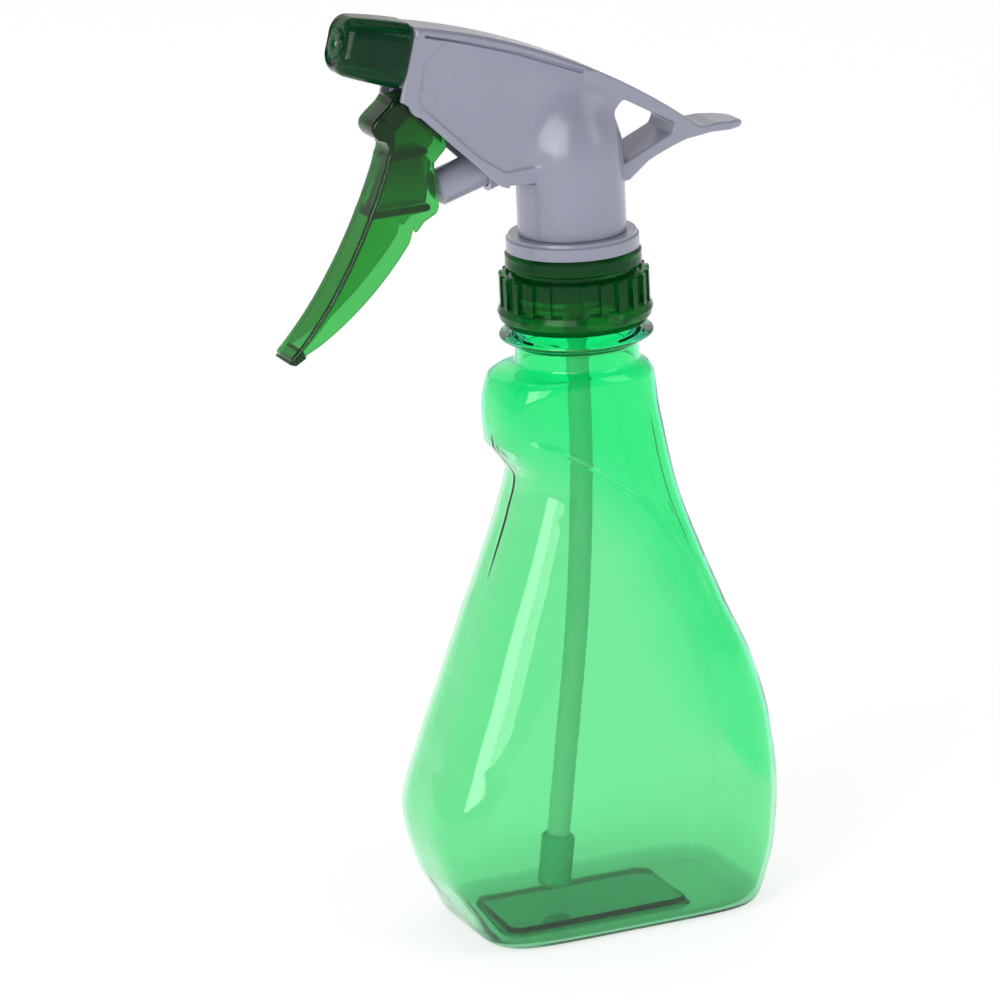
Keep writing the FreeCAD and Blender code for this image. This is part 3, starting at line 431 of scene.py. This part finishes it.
LOOKS = {
    "bottle": clear_bottle(),
    "dark": tinted("dark_green_pp", (0.006, 0.30, 0.06), (0.004, 0.25, 0.05),
                   (0.0, 0.62, 0.20), 280.0, (0.07, 0.14), 700.0, 0.84, 1.25),
    "nozzle": tinted("nozzle_green_pp", (0.012, 0.27, 0.11), (0.008, 0.22, 0.09),
                     (0.0, 0.60, 0.28), 420.0, (0.05, 0.10), 700.0, 0.88, 1.27),
    "trigger": tinted("trigger_green_pp", (0.25, 0.86, 0.34), (0.21, 0.82, 0.30),
                      (0.0, 0.64, 0.14), 1050.0, (0.12, 0.18), 600.0, 0.96, 1.33,
                      thick=(0.03, 0.42, 0.08)),
    "white": moulded("head_white_pp", (0.315, 0.325, 0.42), (0.325, 0.335, 0.43), (0.22, 0.28),
                     grain=150.0, bump=0.004, coat=0.25),
    "tube": moulded("tube_pe", (0.66, 0.97, 0.78), (0.72, 0.98, 0.82), (0.30, 0.42), sss=0.1),
    "strainer": grained("strainer_pe"),
    "steel": steel("spring_steel"),
    "rubber": moulded("seal_rubber", (0.03, 0.03, 0.032), (0.05, 0.05, 0.052), (0.55, 0.75),
                      bump=0.2),
    "soft_white": moulded("gasket_pe", (0.74, 0.74, 0.72), (0.80, 0.80, 0.78), (0.45, 0.60),
                          sss=0.1),
    "natural": moulded("natural_pe", (0.70, 0.70, 0.66), (0.78, 0.78, 0.74), (0.32, 0.50),
                       sss=0.25),
}


CAD_LOOKS = {
    "screw_collar": "dark", "pump_body": "white", "piston": "white", "dip_tube": "tube",
    "intake_strainer": "strainer", "strainer_screen": "strainer", "inlet_ball": "steel",
    "outlet_ball": "steel", "piston_seal": "natural", "nozzle_seal": "rubber",
    "neck_gasket": "soft_white", "tube_retainer": "natural", "spinner": "natural",
    "orifice_insert": "natural",
}
for node, look in CAD_LOOKS.items():
    for slot in nodes[node].material_slots:
        slot.material = LOOKS[look]

# ---------------------------------------------------------------- bottle

# height, front edge x, rear edge x, half depth, squareness of the level section
BOTTLE_ROWS = np.array([
    (0.0, -28.8, 29.6, 17.4, 5.6),
    (0.5, -30.6, 31.4, 19.2, 5.8),
    (1.6, -32.6, 33.0, 20.3, 5.6),
    (6.0, -35.4, 35.4, 21.2, 4.8),
    (15.0, -40.0, 38.8, 21.8, 4.0),
    (28.0, -43.0, 40.2, 22.5, 3.6),
    (42.0, -39.0, 39.2, 22.0, 3.4),
    (56.0, -33.6, 35.9, 21.0, 3.2),
    (70.0, -28.2, 30.1, 19.3, 3.1),
    (84.0, -22.4, 24.7, 17.5, 3.0),
    (96.0, -18.0, 20.6, 16.1, 2.9),
    (103.0, -16.2, 19.0, 15.6, 2.8),
    (107.0, -18.4, 18.3, 15.5, 2.8),
    (111.0, -20.9, 17.7, 15.4, 2.8),
    (117.0, -21.2, 16.6, 15.3, 2.8),
    (124.5, -19.6, 15.8, 15.1, 2.7),
    (126.4, -17.2, 14.9, 14.4, 2.4),
    (127.0, -14.6, 14.0, 13.9, 2.1),
    (127.6, -13.7, 13.6, 13.6, 2.0),
    (131.2, -13.5, 13.5, 13.5, 2.0),
])
RING_HEIGHT, RING_RADIUS = 133.5, 16.9
NECK_RADIUS, NECK_BORE, NECK_TOP = 12.1, 10.2, 148.0
THREAD_START, THREAD_PITCH, THREAD_TURNS, THREAD_DEPTH = 139.5, 4.23, 1.25, 1.3
THREAD_RUN_OUT = 0.06
BOTTLE_WALL, BASE_WALL, HEEL_RISE = 1.1, 1.3, 1.5
CREASE_DEPTH = 0.7
PARTING_WIDTH, PARTING_HEIGHT = 0.7, 0.16
ROUND_STEPS = 224
PUSH_UP = {"x": -5.0, "half_x": 22.0, "half_y": 12.8, "corner": 4.0, "depth": 1.8}
# the line across both broad faces where the waist meets the wide lower panel
CREASE = [(-40.0, 119.0), (-24.0, 115.5), (-12.0, 111.8), (-2.6, 105.8), (3.5, 100.5), (8.0, 97.2),
          (14.5, 88.6), (20.2, 80.0), (25.5, 66.0), (31.0, 50.0), (36.0, 36.0)]


def smooth_rows(rows, heights):
    """Rows read at more heights, along cubics that don't overshoot."""
    z = rows[:, 0]
    out = [heights]
    for column in rows[:, 1:].T:
        slope = np.diff(column) / np.diff(z)
        tangent = np.zeros(len(z))
        same = slope[:-1] * slope[1:] > 0
        w1, w2 = 2 * np.diff(z)[1:] + np.diff(z)[:-1], np.diff(z)[1:] + 2 * np.diff(z)[:-1]
        inner = np.zeros(len(z) - 2)
        inner[same] = (w1 + w2)[same] / (w1[same] / slope[:-1][same] + w2[same] / slope[1:][same])
        tangent[1:-1] = inner
        tangent[0], tangent[-1] = slope[0], slope[-1]
        i = np.clip(np.searchsorted(z, heights, side="right") - 1, 0, len(z) - 2)
        h = z[i + 1] - z[i]
        t = (heights - z[i]) / h
        out.append((2 * t ** 3 - 3 * t ** 2 + 1) * column[i]
                   + (t ** 3 - 2 * t ** 2 + t) * h * tangent[i]
                   + (3 * t ** 2 - 2 * t ** 3) * column[i + 1]
                   + (t ** 3 - t ** 2) * h * tangent[i + 1])
    return np.stack(out, 1)


def above_crease(x, z):
    """The distance to the crease, positive above it and negative below it."""
    best, side = None, None
    for (ax, az), (bx, bz) in zip(CREASE[:-1], CREASE[1:]):
        ex, ez = bx - ax, bz - az
        t = np.clip(((x - ax) * ex + (z - az) * ez) / (ex * ex + ez * ez), 0.0, 1.0)
        dx, dz = x - ax - ex * t, z - az - ez * t
        square = dx * dx + dz * dz
        now = ex * dz - ez * dx
        if best is None:
            best, side = square, now
        else:
            nearer = square < best
            best, side = np.where(nearer, square, best), np.where(nearer, now, side)
    return np.sign(side) * np.sqrt(best)


def push_up_rise(x, y):
    """How far the base is pushed up at a point, and the distance to the push-up's outline."""
    corner = PUSH_UP["corner"]
    dx = np.abs(x - PUSH_UP["x"]) - PUSH_UP["half_x"] + corner
    dy = np.abs(y) - PUSH_UP["half_y"] + corner
    past = np.hypot(np.maximum(dx, 0), np.maximum(dy, 0))
    edge = past + np.minimum(np.maximum(dx, dy), 0) - corner
    return PUSH_UP["depth"] * (1 - step(-1.1, 0.3, edge)), edge


def bottle_mesh():
    """Level rings, joined from the middle of the underside up outside and down inside."""
    turn = 2 * np.pi * np.arange(ROUND_STEPS) / ROUND_STEPS
    cos_t, sin_t = np.cos(turn), np.sin(turn)

    def ring(row):
        z, front, rear, depth, square = row
        size = (np.abs(cos_t) ** square + np.abs(sin_t) ** square) ** (-1 / square)
        x = (front + rear) / 2 + (rear - front) / 2 * cos_t * size
        return np.stack([x, depth * sin_t * size, np.full(ROUND_STEPS, z)], 1)

    heights = np.concatenate([np.linspace(0, 2, 8)[:-1], np.linspace(2, 96, 95)[:-1],
                              np.linspace(96, 122, 53)[:-1], np.linspace(122, 131.2, 34)])
    level = smooth_rows(BOTTLE_ROWS, heights)
    rings = np.stack([ring(row) for row in level])
    x, y, z = rings[..., 0], rings[..., 1], rings[..., 2]
    # the waist stands a little inside the panel below the crease, on the broad faces only
    flat = step(0.55, 0.95, np.abs(y) / level[:, 3:4])
    waist = step(-0.8, 1.0, above_crease(x, z)) * step(52.0, 80.0, z) * (1 - step(117.0, 124.0, z))
    rings[..., 1] = y - np.sign(y) * (flat * CREASE_DEPTH * waist)
    # mould parting line down the front and the back
    parting = np.exp(-(y / PARTING_WIDTH) ** 2) * (1 - step(108.0, 116.0, z)) * step(70.0, 92.0, z)
    rings[..., 0] = x + np.sign(x) * PARTING_HEIGHT * parting

    along = np.gradient(rings, axis=0)
    around = np.roll(rings, -1, 1) - np.roll(rings, 1, 1)
    normal = np.cross(around, along)
    normal /= np.linalg.norm(normal, axis=2)[..., None]
    keep = heights > 3.6
    inner = (rings - BOTTLE_WALL * normal)[keep]
    inner[..., 2] = np.maximum(inner[..., 2], PUSH_UP["depth"] + 1.0)

    def circle(radius, z):
        return np.stack([radius * cos_t, radius * sin_t, np.full(ROUND_STEPS, z)], 1)

    support = [(13.6, 131.5), (14.3, 132.0), (15.6, 132.6), (16.5, 133.0),
               (RING_RADIUS - 0.1, 133.25), (RING_RADIUS, RING_HEIGHT), (RING_RADIUS - 0.1, 133.8),
               (16.5, 134.0), (15.0, 134.2), (13.6, 134.45), (12.7, 134.9), (NECK_RADIUS, 135.6)]
    neck = []
    helix = THREAD_START + THREAD_PITCH * turn / (2 * np.pi)
    for z in np.linspace(135.9, 147.3, 76):
        radius = np.full(ROUND_STEPS, NECK_RADIUS)
        for lap in (0, 1):
            ridge = z - helix - lap * THREAD_PITCH
            shape = 1 - step(0.35, 1.0, np.abs(ridge))
            gone = turn / (2 * np.pi) + lap
            ends = step(0.0, THREAD_RUN_OUT, gone) * (
                1 - step(THREAD_TURNS - THREAD_RUN_OUT, THREAD_TURNS, gone))
            radius = np.maximum(radius, NECK_RADIUS + THREAD_DEPTH * shape * ends)
        neck.append(circle(radius, z))
    lip = [(12.1, 147.6), (11.9, 147.9), (11.6, NECK_TOP), (10.7, NECK_TOP), (10.35, 147.85),
           (NECK_BORE, 147.5), (NECK_BORE, 144.0), (NECK_BORE, 140.0), (NECK_BORE, 136.0),
           (10.3, 134.6), (10.7, 133.6), (11.5, 132.4), (12.1, 131.6)]
    outside = list(rings) + [circle(*c) for c in support] + neck + [circle(*c) for c in lip]
    inside = list(inner[::-1])

    def shrunk(ring, shares):
        """The ring's shrinking copies, laid on the underside of the base."""
        middle = np.array([(ring[:, 0].min() + ring[:, 0].max()) / 2, 0.0, 0.0])
        copies = []
        for share in shares:
            copy = middle + (ring - middle) * share
            copy[:, 2], _ = push_up_rise(copy[:, 0], copy[:, 1])
            copies.append(copy)
        return copies

    centre_shares = np.linspace(0.49, 0.03, 24)
    under = shrunk(rings[0], np.concatenate([np.linspace(0.985, 0.5, 60), centre_shares])[::-1])
    over_shares = np.concatenate([[0.975, 0.95], np.linspace(0.93, 0.5, 50), centre_shares])
    over = shrunk(inside[-1], over_shares)
    for copy, share in zip(over, over_shares):
        copy[:, 2] = copy[:, 2] + BASE_WALL + HEEL_RISE * step(0.93, 1.0, share)
    loops = under + outside + inside + over
    points = np.concatenate(loops)
    faces = []
    for i in range(len(loops) - 1):
        a = i * ROUND_STEPS + np.arange(ROUND_STEPS)
        b = i * ROUND_STEPS + (np.arange(ROUND_STEPS) + 1) % ROUND_STEPS
        faces.extend(np.stack([a, b, b + ROUND_STEPS, a + ROUND_STEPS], 1).tolist())
    first, last = len(points), len(points) + 1
    points = np.concatenate([points, [loops[0].mean(0)], [loops[-1].mean(0)]])
    top = (len(loops) - 1) * ROUND_STEPS
    for k in range(ROUND_STEPS):
        faces.append((first, (k + 1) % ROUND_STEPS, k))
        faces.append((last, top + k, top + (k + 1) % ROUND_STEPS))
    return points, faces


points, faces = bottle_mesh()
bottle = make_object("bottle_shell", points, faces, "bottle")
x, y, z = points.T
# how far a point is above the crease, and how far it is in the thick foot, which is painted dark
# as shade from the floor under the base
upper = step(-14.0, 10.0, above_crease(x, z))
_, edge = push_up_rise(x, y)
# painted shade under the base: darkest over the push-up, and a little darker low on the walls
base = (1 - step(2.6, 4.6, z)) * (0.45 + 0.55 * (1 - step(-0.6, 1.2, edge)))
base = np.maximum(base, 0.16 * (1 - step(3.0, 13.0, z)))
for name, values in (("upper", upper), ("base", base)):
    layer = bottle.data.attributes.new(name, "FLOAT", "POINT")
    layer.data.foreach_set("value", values.astype(np.float32))
bottle.data.materials.append(LOOKS["bottle"])
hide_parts("bottle")

# ---------------------------------------------------------------- head cover

HEAD_HALF = 6.5
# the head's square front end, square to the barrel at this distance along it
FACE = 39.6
FACE_TOP, FACE_LOW = at(BARREL, FACE, 6.6), at(BARREL, FACE, -9.6)
TAIL_ROOT = (28.2, 176.8)
ROOF = bowed(FACE_TOP, TAIL_ROOT, 150.0, 40)
SIDE = ([FACE_LOW]
        + softened([(-39.3, 189.8, 0.0), (-36.2, 186.6, 2.2), (-21.4, 172.0, 1.0),
                    (-18.4, 169.3, 1.2), (-16.0, 168.5, 0.8)])
        + [(0.0, 168.5), (8.0, 166.6), (11.4, 166.9)]
        + bowed((16.1, 170.6), (25.4, 174.2), 60.0, 8)
        + [(31.0, 174.9), (36.0, 174.6), (39.0, 174.5), (39.8, 174.8), (40.2, 175.4),
           (39.8, 176.0), (38.6, 176.3), (33.0, 176.7), (30.2, 176.4)]
        + ROOF[::-1])
# the groove under the roof's edge, and the shallow panel below it
GROOVE = [(-34.4, 204.1), (-29.9, 202.9), (-24.4, 201.4), (-13.1, 197.8), (-4.0, 194.2),
          (1.2, 192.1)]
PANEL = softened([(-35.0, 198.4, 0.6), (-30.2, 202.4, 0.6), (-24.4, 201.2, 0.0),
                  (-13.1, 197.6, 0.0), (-4.0, 194.0, 0.0), (1.4, 191.8, 0.5), (3.5, 186.0, 2.0),
                  (-6.0, 173.0, 2.0), (-17.6, 172.3, 1.0), (-23.6, 176.6, 1.0),
                  (-35.6, 188.6, 1.6), (-36.6, 191.0, 1.0)])
# the window of the loop behind the head
HOLE = softened([(8.4, 170.0, 0.8), (15.4, 173.2, 0.0), (21.6, 176.0, 1.0), (22.6, 178.1, 0.8),
                 (16.1, 181.8, 0.0), (10.6, 184.9, 1.2), (8.2, 182.6, 2.0)])
# the space inside the head, the slot for the trigger, and the tail as seen from above
ROOM = ([at(BARREL, FACE - 1.5, -22.0), (-12.8, 167.2), (-12.8, 168.7), (6.0, 168.7)]
        + bowed(at(BARREL, FACE - 1.5, 5.0), (6.0, 190.1), 149.0, 30)[::-1])
DOOR = [(-46.0, 193.4), (-46.0, 180.0), (-30.0, 180.0), (-30.0, 193.4)]
TAIL_PLAN = softened([(-60.0, 8.0), (-60.0, -8.0), (25.0, -8.0, 0.0), (29.5, -6.6, 2.0),
                      (36.5, -5.2, 3.0), (40.6, -2.6, 2.2), (40.6, 2.6, 2.2), (36.5, 5.2, 3.0),
                      (29.5, 6.6, 2.0), (25.0, 8.0, 0.0)])
# the riser's domed top: where the dome starts, and its radius and rise outside and inside
SHOULDER = 172.0
POST_RADIUS, POST_RISE, POST_FOOT = 11.8, 17.0, 156.05
BORE_RADIUS, BORE_RISE = 10.55, 15.8


def open_line(points, u, v):
    """Distance to an open polyline."""
    nearest = None
    for (ax, ay), (bx, by) in zip(points[:-1], points[1:]):
        ex, ey = bx - ax, by - ay
        t = np.clip(((u - ax) * ex + (v - ay) * ey) / (ex * ex + ey * ey), 0.0, 1.0)
        square = (u - ax - ex * t) ** 2 + (v - ay - ey * t) ** 2
        nearest = square if nearest is None else np.minimum(nearest, square)
    return np.sqrt(nearest)


def dome(x, y, z, radius, rise):
    """A round post that ends in the upper half of an ellipsoid."""
    up = np.maximum(z - SHOULDER, 0.0)
    k = np.sqrt((x / radius) ** 2 + (y / radius) ** 2 + (up / rise) ** 2)
    g = np.sqrt((x / radius ** 2) ** 2 + (y / radius ** 2) ** 2 + (up / rise ** 2) ** 2)
    return k * (k - 1.0) / np.maximum(g, 1e-6)


def shroud_field(x, y, z):
    """The head cover as if it were solid."""
    side = outline(SIDE, x, z)
    wide = np.abs(y)
    panel = outline(PANEL, x, z)
    groove = open_line(GROOVE, x, z)
    near = np.exp(-groove / 1.6)
    ramp = step(-34.0, 1.0, x)
    fade = 1 - step(-12.0, 2.0, x) * (1 - near)
    sunk = (1 - step(-0.3, 0.2, panel)) * (0.5 * fade + 0.3 * ramp * near)
    body = both(side, wide - (HEAD_HALF - sunk), 0.55)
    crown = both(side, wide - HEAD_HALF - 0.02, 1.5)
    groove_x, groove_z = zip(*GROOVE)
    above = step(-0.2, 0.3, z - np.interp(x, groove_x, groove_z))
    body = body * (1 - above) + crown * above
    body = without(body, both(groove - 0.24 - 0.16 * ramp, 5.4 - wide, 0.05), 0.08)
    body = both(body, outline(TAIL_PLAN, x, y), 0.5)
    round_post = dome(x, y, z, POST_RADIUS, POST_RISE)
    post = both(round_post, POST_FOOT - z, 0.15)
    whole = melt(body, post, 0.25 + 3.0 * step(169.5, 176.0, z))
    rib = both(both(wide - 1.5, x - 12.35, 0.3),
               np.maximum(10.0 - x, np.maximum(156.4 - z, z - 169.5)), 0.2)
    whole = either(whole, rib, 0.15)
    loop = both(outline(HOLE, x, z), wide - 9.0, 0.1)
    loop = np.maximum(loop, 0.05 - round_post)
    return without(whole, loop, 0.45)


def shroud_room(x, y, z):
    """The space inside the head cover."""
    wide = np.abs(y)
    groove = open_line(GROOVE, x, z)
    narrow = 5.45 - 1.0 * np.exp(-(groove / 1.3) ** 2)
    room = both(outline(ROOM, x, z), wide - narrow, 0.3)
    door = both(outline(DOOR, x, z), wide - 5.5, 0.2)
    room = np.minimum(room, door)
    room = np.minimum(room, both(dome(x, y, z, BORE_RADIUS, BORE_RISE), 150.0 - z, 0.1))
    along, _, away = on_axis(BARREL, x, y, z)
    return np.minimum(room, both(away - 4.3, np.maximum(30.0 - along, along - 44.0), 0.1))


def shroud_solid(x, y, z):
    """The head cover, hollow, with a pad and a hole for each of the trigger's trunnions."""
    whole = without(shroud_field(x, y, z), shroud_room(x, y, z), 0.2)
    wide = np.abs(y)
    reach = np.hypot(x - PIVOT[0], z - PIVOT[1])
    pad = both(reach - 3.0, np.maximum(4.9 - wide, wide - 6.2), 0.15)
    whole = np.minimum(whole, pad)
    return without(whole, both(reach - 1.5, wide - 6.1, 0.05), 0.05)


points, faces = skin(shroud_solid, (-42.0, -12.6, 155.4), (41.6, 12.6, 207.6), 0.28)
shroud = make_object("head_cover", points, faces, "head")
shroud.data.materials.append(LOOKS["white"])
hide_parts("shroud")

# ---------------------------------------------------------------- trigger

# the lever seen from the side, and the hollow of its channel
BLADE = (softened([(-41.0, 191.6, 1.2), (-42.6, 189.6, 2.0), (-45.4, 187.3, 1.4),
                   (-46.9, 185.2, 2.2), (-45.6, 182.6, 1.6), (-43.6, 182.0, 0.5),
                   (-42.9, 180.4, 0.8), (-43.3, 178.6, 1.5)])
         + bowed((-44.3, 176.0), (-54.4, 155.3), 130.0, 12)
         + bowed((-55.6, 153.4), (-67.8, 138.0), 80.0, 12)
         + softened([(-68.7, 136.9, 0.9), (-66.8, 136.2, 0.9), (-63.2, 138.4, 1.5)])
         + bowed((-61.0, 139.9), (-39.4, 159.5), -78.0, 24)
         + softened([(-38.4, 160.7, 1.5), (-35.8, 163.6, 2.0), (-32.9, 165.1, 1.0),
                     (-32.25, 166.6, 0.9), (-32.95, 176.0, 0.8), (-29.8, 179.2, 1.5),
                     (-31.6, 187.2, 3.0), (-32.9, 191.4, 1.4), (-35.0, 192.8, 1.2),
                     (-37.4, 192.4, 1.2)]))
HOLLOW = (softened([(-41.5, 186.9, 0.8), (-41.4, 180.4, 1.2), (-42.0, 178.2, 1.0)])
          + bowed((-43.1, 175.4), (-53.2, 154.7), 130.0, 12)
          + bowed((-54.4, 152.8), (-65.0, 139.2), 80.0, 12)
          + softened([(-64.6, 138.0, 0.0), (-50.0, 137.8, 0.0), (-25.0, 160.0, 0.0),
                      (-25.0, 187.0, 0.0), (-38.2, 187.0, 0.8)]))
# the two cross webs: start, end and half thickness
WEBS = [((-43.2, 178.2), (-35.0, 179.0), 0.62), ((-48.0, 166.4), (-34.9, 166.6), 0.68)]
# the rib in the middle plane that pushes the piston
PUSH_RIB = [(-47.2, 167.0), (-34.1, 167.0), (-32.5, 175.8), (-34.6, 178.6), (-42.8, 178.6)]
LEVER_WALL = 1.15


def bar(x, z, start, end, half):
    """Distance to a round-ended bar between two points."""
    ex, ez = end[0] - start[0], end[1] - start[1]
    t = ((x - start[0]) * ex + (z - start[1]) * ez) / (ex * ex + ez * ez)
    t = np.clip(t, 0.0, 1.0)
    return np.hypot(x - start[0] - ex * t, z - start[1] - ez * t) - half


def trigger_solid(x, y, z):
    """The lever: a channel with webs, the pushing rib, the rolled top edge and the trunnions."""
    wide = np.abs(y)
    half = 5.1 - 0.5 * step(138.0, 178.0, z)
    blade = outline(BLADE, x, z)
    outer = both(blade, wide - half, 0.85)
    hollow = both(outline(HOLLOW, x, z), wide - (half - LEVER_WALL), 0.45)
    shell = without(outer, hollow, 0.35)
    inside = both(blade + 0.15, wide - (half - 0.4), 0.1)
    for start, end, thick in WEBS:
        shell = either(shell, both(bar(x, z, start, end, thick), inside, 0.05), 0.3)
    rib = both(outline(PUSH_RIB, x, z), wide - 0.9, 0.25)
    shell = either(shell, rib, 0.3)
    roll = both(np.hypot(x + 44.4, z - 185.0) - 2.25, wide - half, 0.7)
    shell = either(shell, roll, 0.25)
    trunnion = both(np.hypot(x - PIVOT[0], z - PIVOT[1]) - 1.45, wide - 6.0, 0.2)
    return np.minimum(shell, trunnion)


points, faces = skin(trigger_solid, (-71.0, -7.2, 134.5), (-28.0, 7.2, 195.0), 0.32)
trigger = make_object("trigger_lever", points, faces, "trigger")
# the lever is thickest, so darkest, at its knuckle
layer = trigger.data.attributes.new("thick", "FLOAT", "POINT")
layer.data.foreach_set("value", step(166.0, 186.0, points[:, 2]).astype(np.float32))
trigger.data.materials.append(LOOKS["trigger"])
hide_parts("trigger")

# ---------------------------------------------------------------- nozzle

# both ends of the cap along the barrel, half its width at the rear, and its corners' radius
NOZZLE_REAR, NOZZLE_FRONT = 40.0, 54.6
NOZZLE_HALF, NOZZLE_CORNER = 7.1, 4.2


def nozzle_solid(x, y, z):
    """A rounded-square cap that narrows forwards, with a ring and a spray hole in its front."""
    along, across, away = on_axis(BARREL, x, y, z)
    share = (along - NOZZLE_REAR) / (NOZZLE_FRONT - NOZZLE_REAR)
    half = NOZZLE_HALF - 1.0 * share + 0.9 * share * (1 - share)
    over = np.abs(across) - half + NOZZLE_CORNER
    out = np.abs(y) - half + NOZZLE_CORNER
    past = np.hypot(np.maximum(over, 0), np.maximum(out, 0))
    side = past + np.minimum(np.maximum(over, out), 0) - NOZZLE_CORNER
    cap = both(both(side, along - NOZZLE_FRONT, 2.5), NOZZLE_REAR - along, 0.5)
    ring = both(np.abs(away - 4.05) - 0.75, NOZZLE_FRONT - 0.7 - along, 0.3)
    bore = both(away - 4.28, along - 51.2, 0.3)
    flare = 0.5 + 1.3 * np.maximum(along - 53.9, 0.0)
    pocket = away - np.where(along > 53.9, flare, 2.6)
    pocket = both(pocket, 50.0 - along, 0.05)
    return without(without(without(cap, ring, 0.25), bore, 0.1), pocket, 0.1)


points, faces = skin(nozzle_solid, (-56.6, -7.6, 190.6), (-36.0, 7.6, 212.4), 0.26)
nozzle_cap = make_object("nozzle_cap", points, faces, "nozzle")
nozzle_cap.data.materials.append(LOOKS["nozzle"])
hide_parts("nozzle")

# ---------------------------------------------------------------- springs

def spring(name, line, start, end, turns, radius, wire):
    """A coil around a line, from start to end along it."""
    origin = np.array([line["x"], 0.0, line["z"]])
    direction = np.array([line["dx"], 0.0, line["dz"]])
    up = np.array([-line["dz"], 0.0, line["dx"]])
    across = np.array([0, 1.0, 0])
    per_turn = 32
    points = []
    for k in range(turns * per_turn + 1):
        a = 2 * math.pi * k / per_turn
        along = start + wire + (end - start - 2 * wire) * (k / (turns * per_turn))
        points.append(origin + direction * along
                      + radius * (math.cos(a) * up + math.sin(a) * across))
    made = make_object(name, *tube(points, wire), "head")
    made.data.materials.append(LOOKS["steel"])
    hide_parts(name.replace("_coil", "_spring"))
    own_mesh(made)


spring("return_coil", CYLINDER, -4.5, 17.2, 9, 2.15, 0.3)
spring("outlet_coil", BARREL, 5.65, 14.95, 7, 1.15, 0.14)

# ---------------------------------------------------------------- studio

def floor():
    """A pale paper floor, lit a little by itself so that it stays near white."""
    bpy.ops.mesh.primitive_plane_add(size=8.0, location=(0, 0, -0.0002))
    made = bpy.context.object
    made.name = "studio_floor"
    look = Look("studio_paper")
    look.set(Roughness=0.9, Emission_Strength=0.70)
    look.shader.inputs["Emission Color"].default_value = (1, 1, 1, 1)
    look.colour(look.mottled(6.0, 3.0, (0.60, 0.60, 0.60), (0.61, 0.61, 0.61)))
    made.data.materials.append(look.material)


def softbox(name, place, target, size, power):
    """An area light at a place in metres, turned towards a target."""
    data = bpy.data.lights.new(name, "AREA")
    data.shape = "RECTANGLE"
    data.size, data.size_y = size
    data.energy = power
    lamp = bpy.data.objects.new(name, data)
    bpy.context.scene.collection.objects.link(lamp)
    lamp.location = place
    lamp.rotation_mode = "QUATERNION"
    lamp.rotation_quaternion = (Vector(target) - Vector(place)).to_track_quat("-Z", "Y")
    return lamp


def sky():
    """Bright at the horizon, so that clear plastic has no dark line in it, and grey above."""
    world = bpy.data.worlds.new("studio")
    bpy.context.scene.world = world
    world.use_nodes = True
    tree = world.node_tree
    background = tree.nodes["Background"]
    coordinates = tree.nodes.new("ShaderNodeTexCoord")
    split = tree.nodes.new("ShaderNodeSeparateXYZ")
    ramp = tree.nodes.new("ShaderNodeValToRGB")
    ramp.color_ramp.elements[0].position = 0.0
    ramp.color_ramp.elements[0].color = (0.95, 0.95, 0.95, 1)
    ramp.color_ramp.elements[1].position = 0.75
    ramp.color_ramp.elements[1].color = (0.22, 0.22, 0.225, 1)
    tree.links.new(coordinates.outputs["Generated"], split.inputs["Vector"])
    tree.links.new(split.outputs["Z"], ramp.inputs["Fac"])
    tree.links.new(ramp.outputs["Color"], background.inputs["Color"])
    background.inputs["Strength"].default_value = 0.75


def camera():
    """A long lens, 16.5 degrees above the object, 23 to its left, and rolled by 2.4 degrees."""
    azimuth, elevation, roll = math.radians(-23), math.radians(16.5), math.radians(2.4)
    distance, target = 1.25, Vector((0, 0, 0.1))
    back = Vector((math.sin(azimuth) * math.cos(elevation),
                   -math.cos(azimuth) * math.cos(elevation), math.sin(elevation)))
    right = Vector((0, 0, 1)).cross(back).normalized()
    up = back.cross(right)
    right, up = (right * math.cos(roll) - up * math.sin(roll),
                 up * math.cos(roll) + right * math.sin(roll))
    data = bpy.data.cameras.new("camera")
    data.sensor_width, data.lens = 36.0, 205.2
    data.shift_x, data.shift_y = -0.0825, -0.022
    made = bpy.data.objects.new("camera", data)
    bpy.context.scene.collection.objects.link(made)
    place = target + back * distance
    made.matrix_world = Matrix((
        (right.x, up.x, back.x, place.x), (right.y, up.y, back.y, place.y),
        (right.z, up.z, back.z, place.z), (0, 0, 0, 1)))
    bpy.context.scene.camera = made


floor()
# name, place, target, size in metres and power in watts
softbox("key_left", (-1.15, -0.75, 0.75), (0, 0, 0.10), (0.62, 1.15), 5)
# a card that shows in gloss only: not in matt surfaces, nor through the clear plastic
card = softbox("card_left", (-1.05, -0.95, 0.75), (0, 0, 0.10), (1.25, 1.15), 16)
card.visible_diffuse = False
card.visible_transmission = False
softbox("fill_right", (1.0, -1.1, 0.8), (0, 0, 0.10), (0.7, 0.9), 3)
softbox("top", (0.1, 0.15, 1.7), (0, 0, 0.1), (1.6, 1.6), 4)
softbox("back", (0.3, 1.7, 0.9), (0, 0, 0.15), (1.8, 1.0), 2)
sky()
camera()

scene = bpy.context.scene
scene.view_settings.view_transform = "Standard"
scene.view_settings.look = "None"
scene.cycles.use_denoising = True
scene.cycles.max_bounces = 24
scene.cycles.transmission_bounces = 20
scene.cycles.transparent_max_bounces = 20
scene.cycles.glossy_bounces = 8
scene.cycles.sample_clamp_indirect = 4.0

bpy.context.view_layer.update()
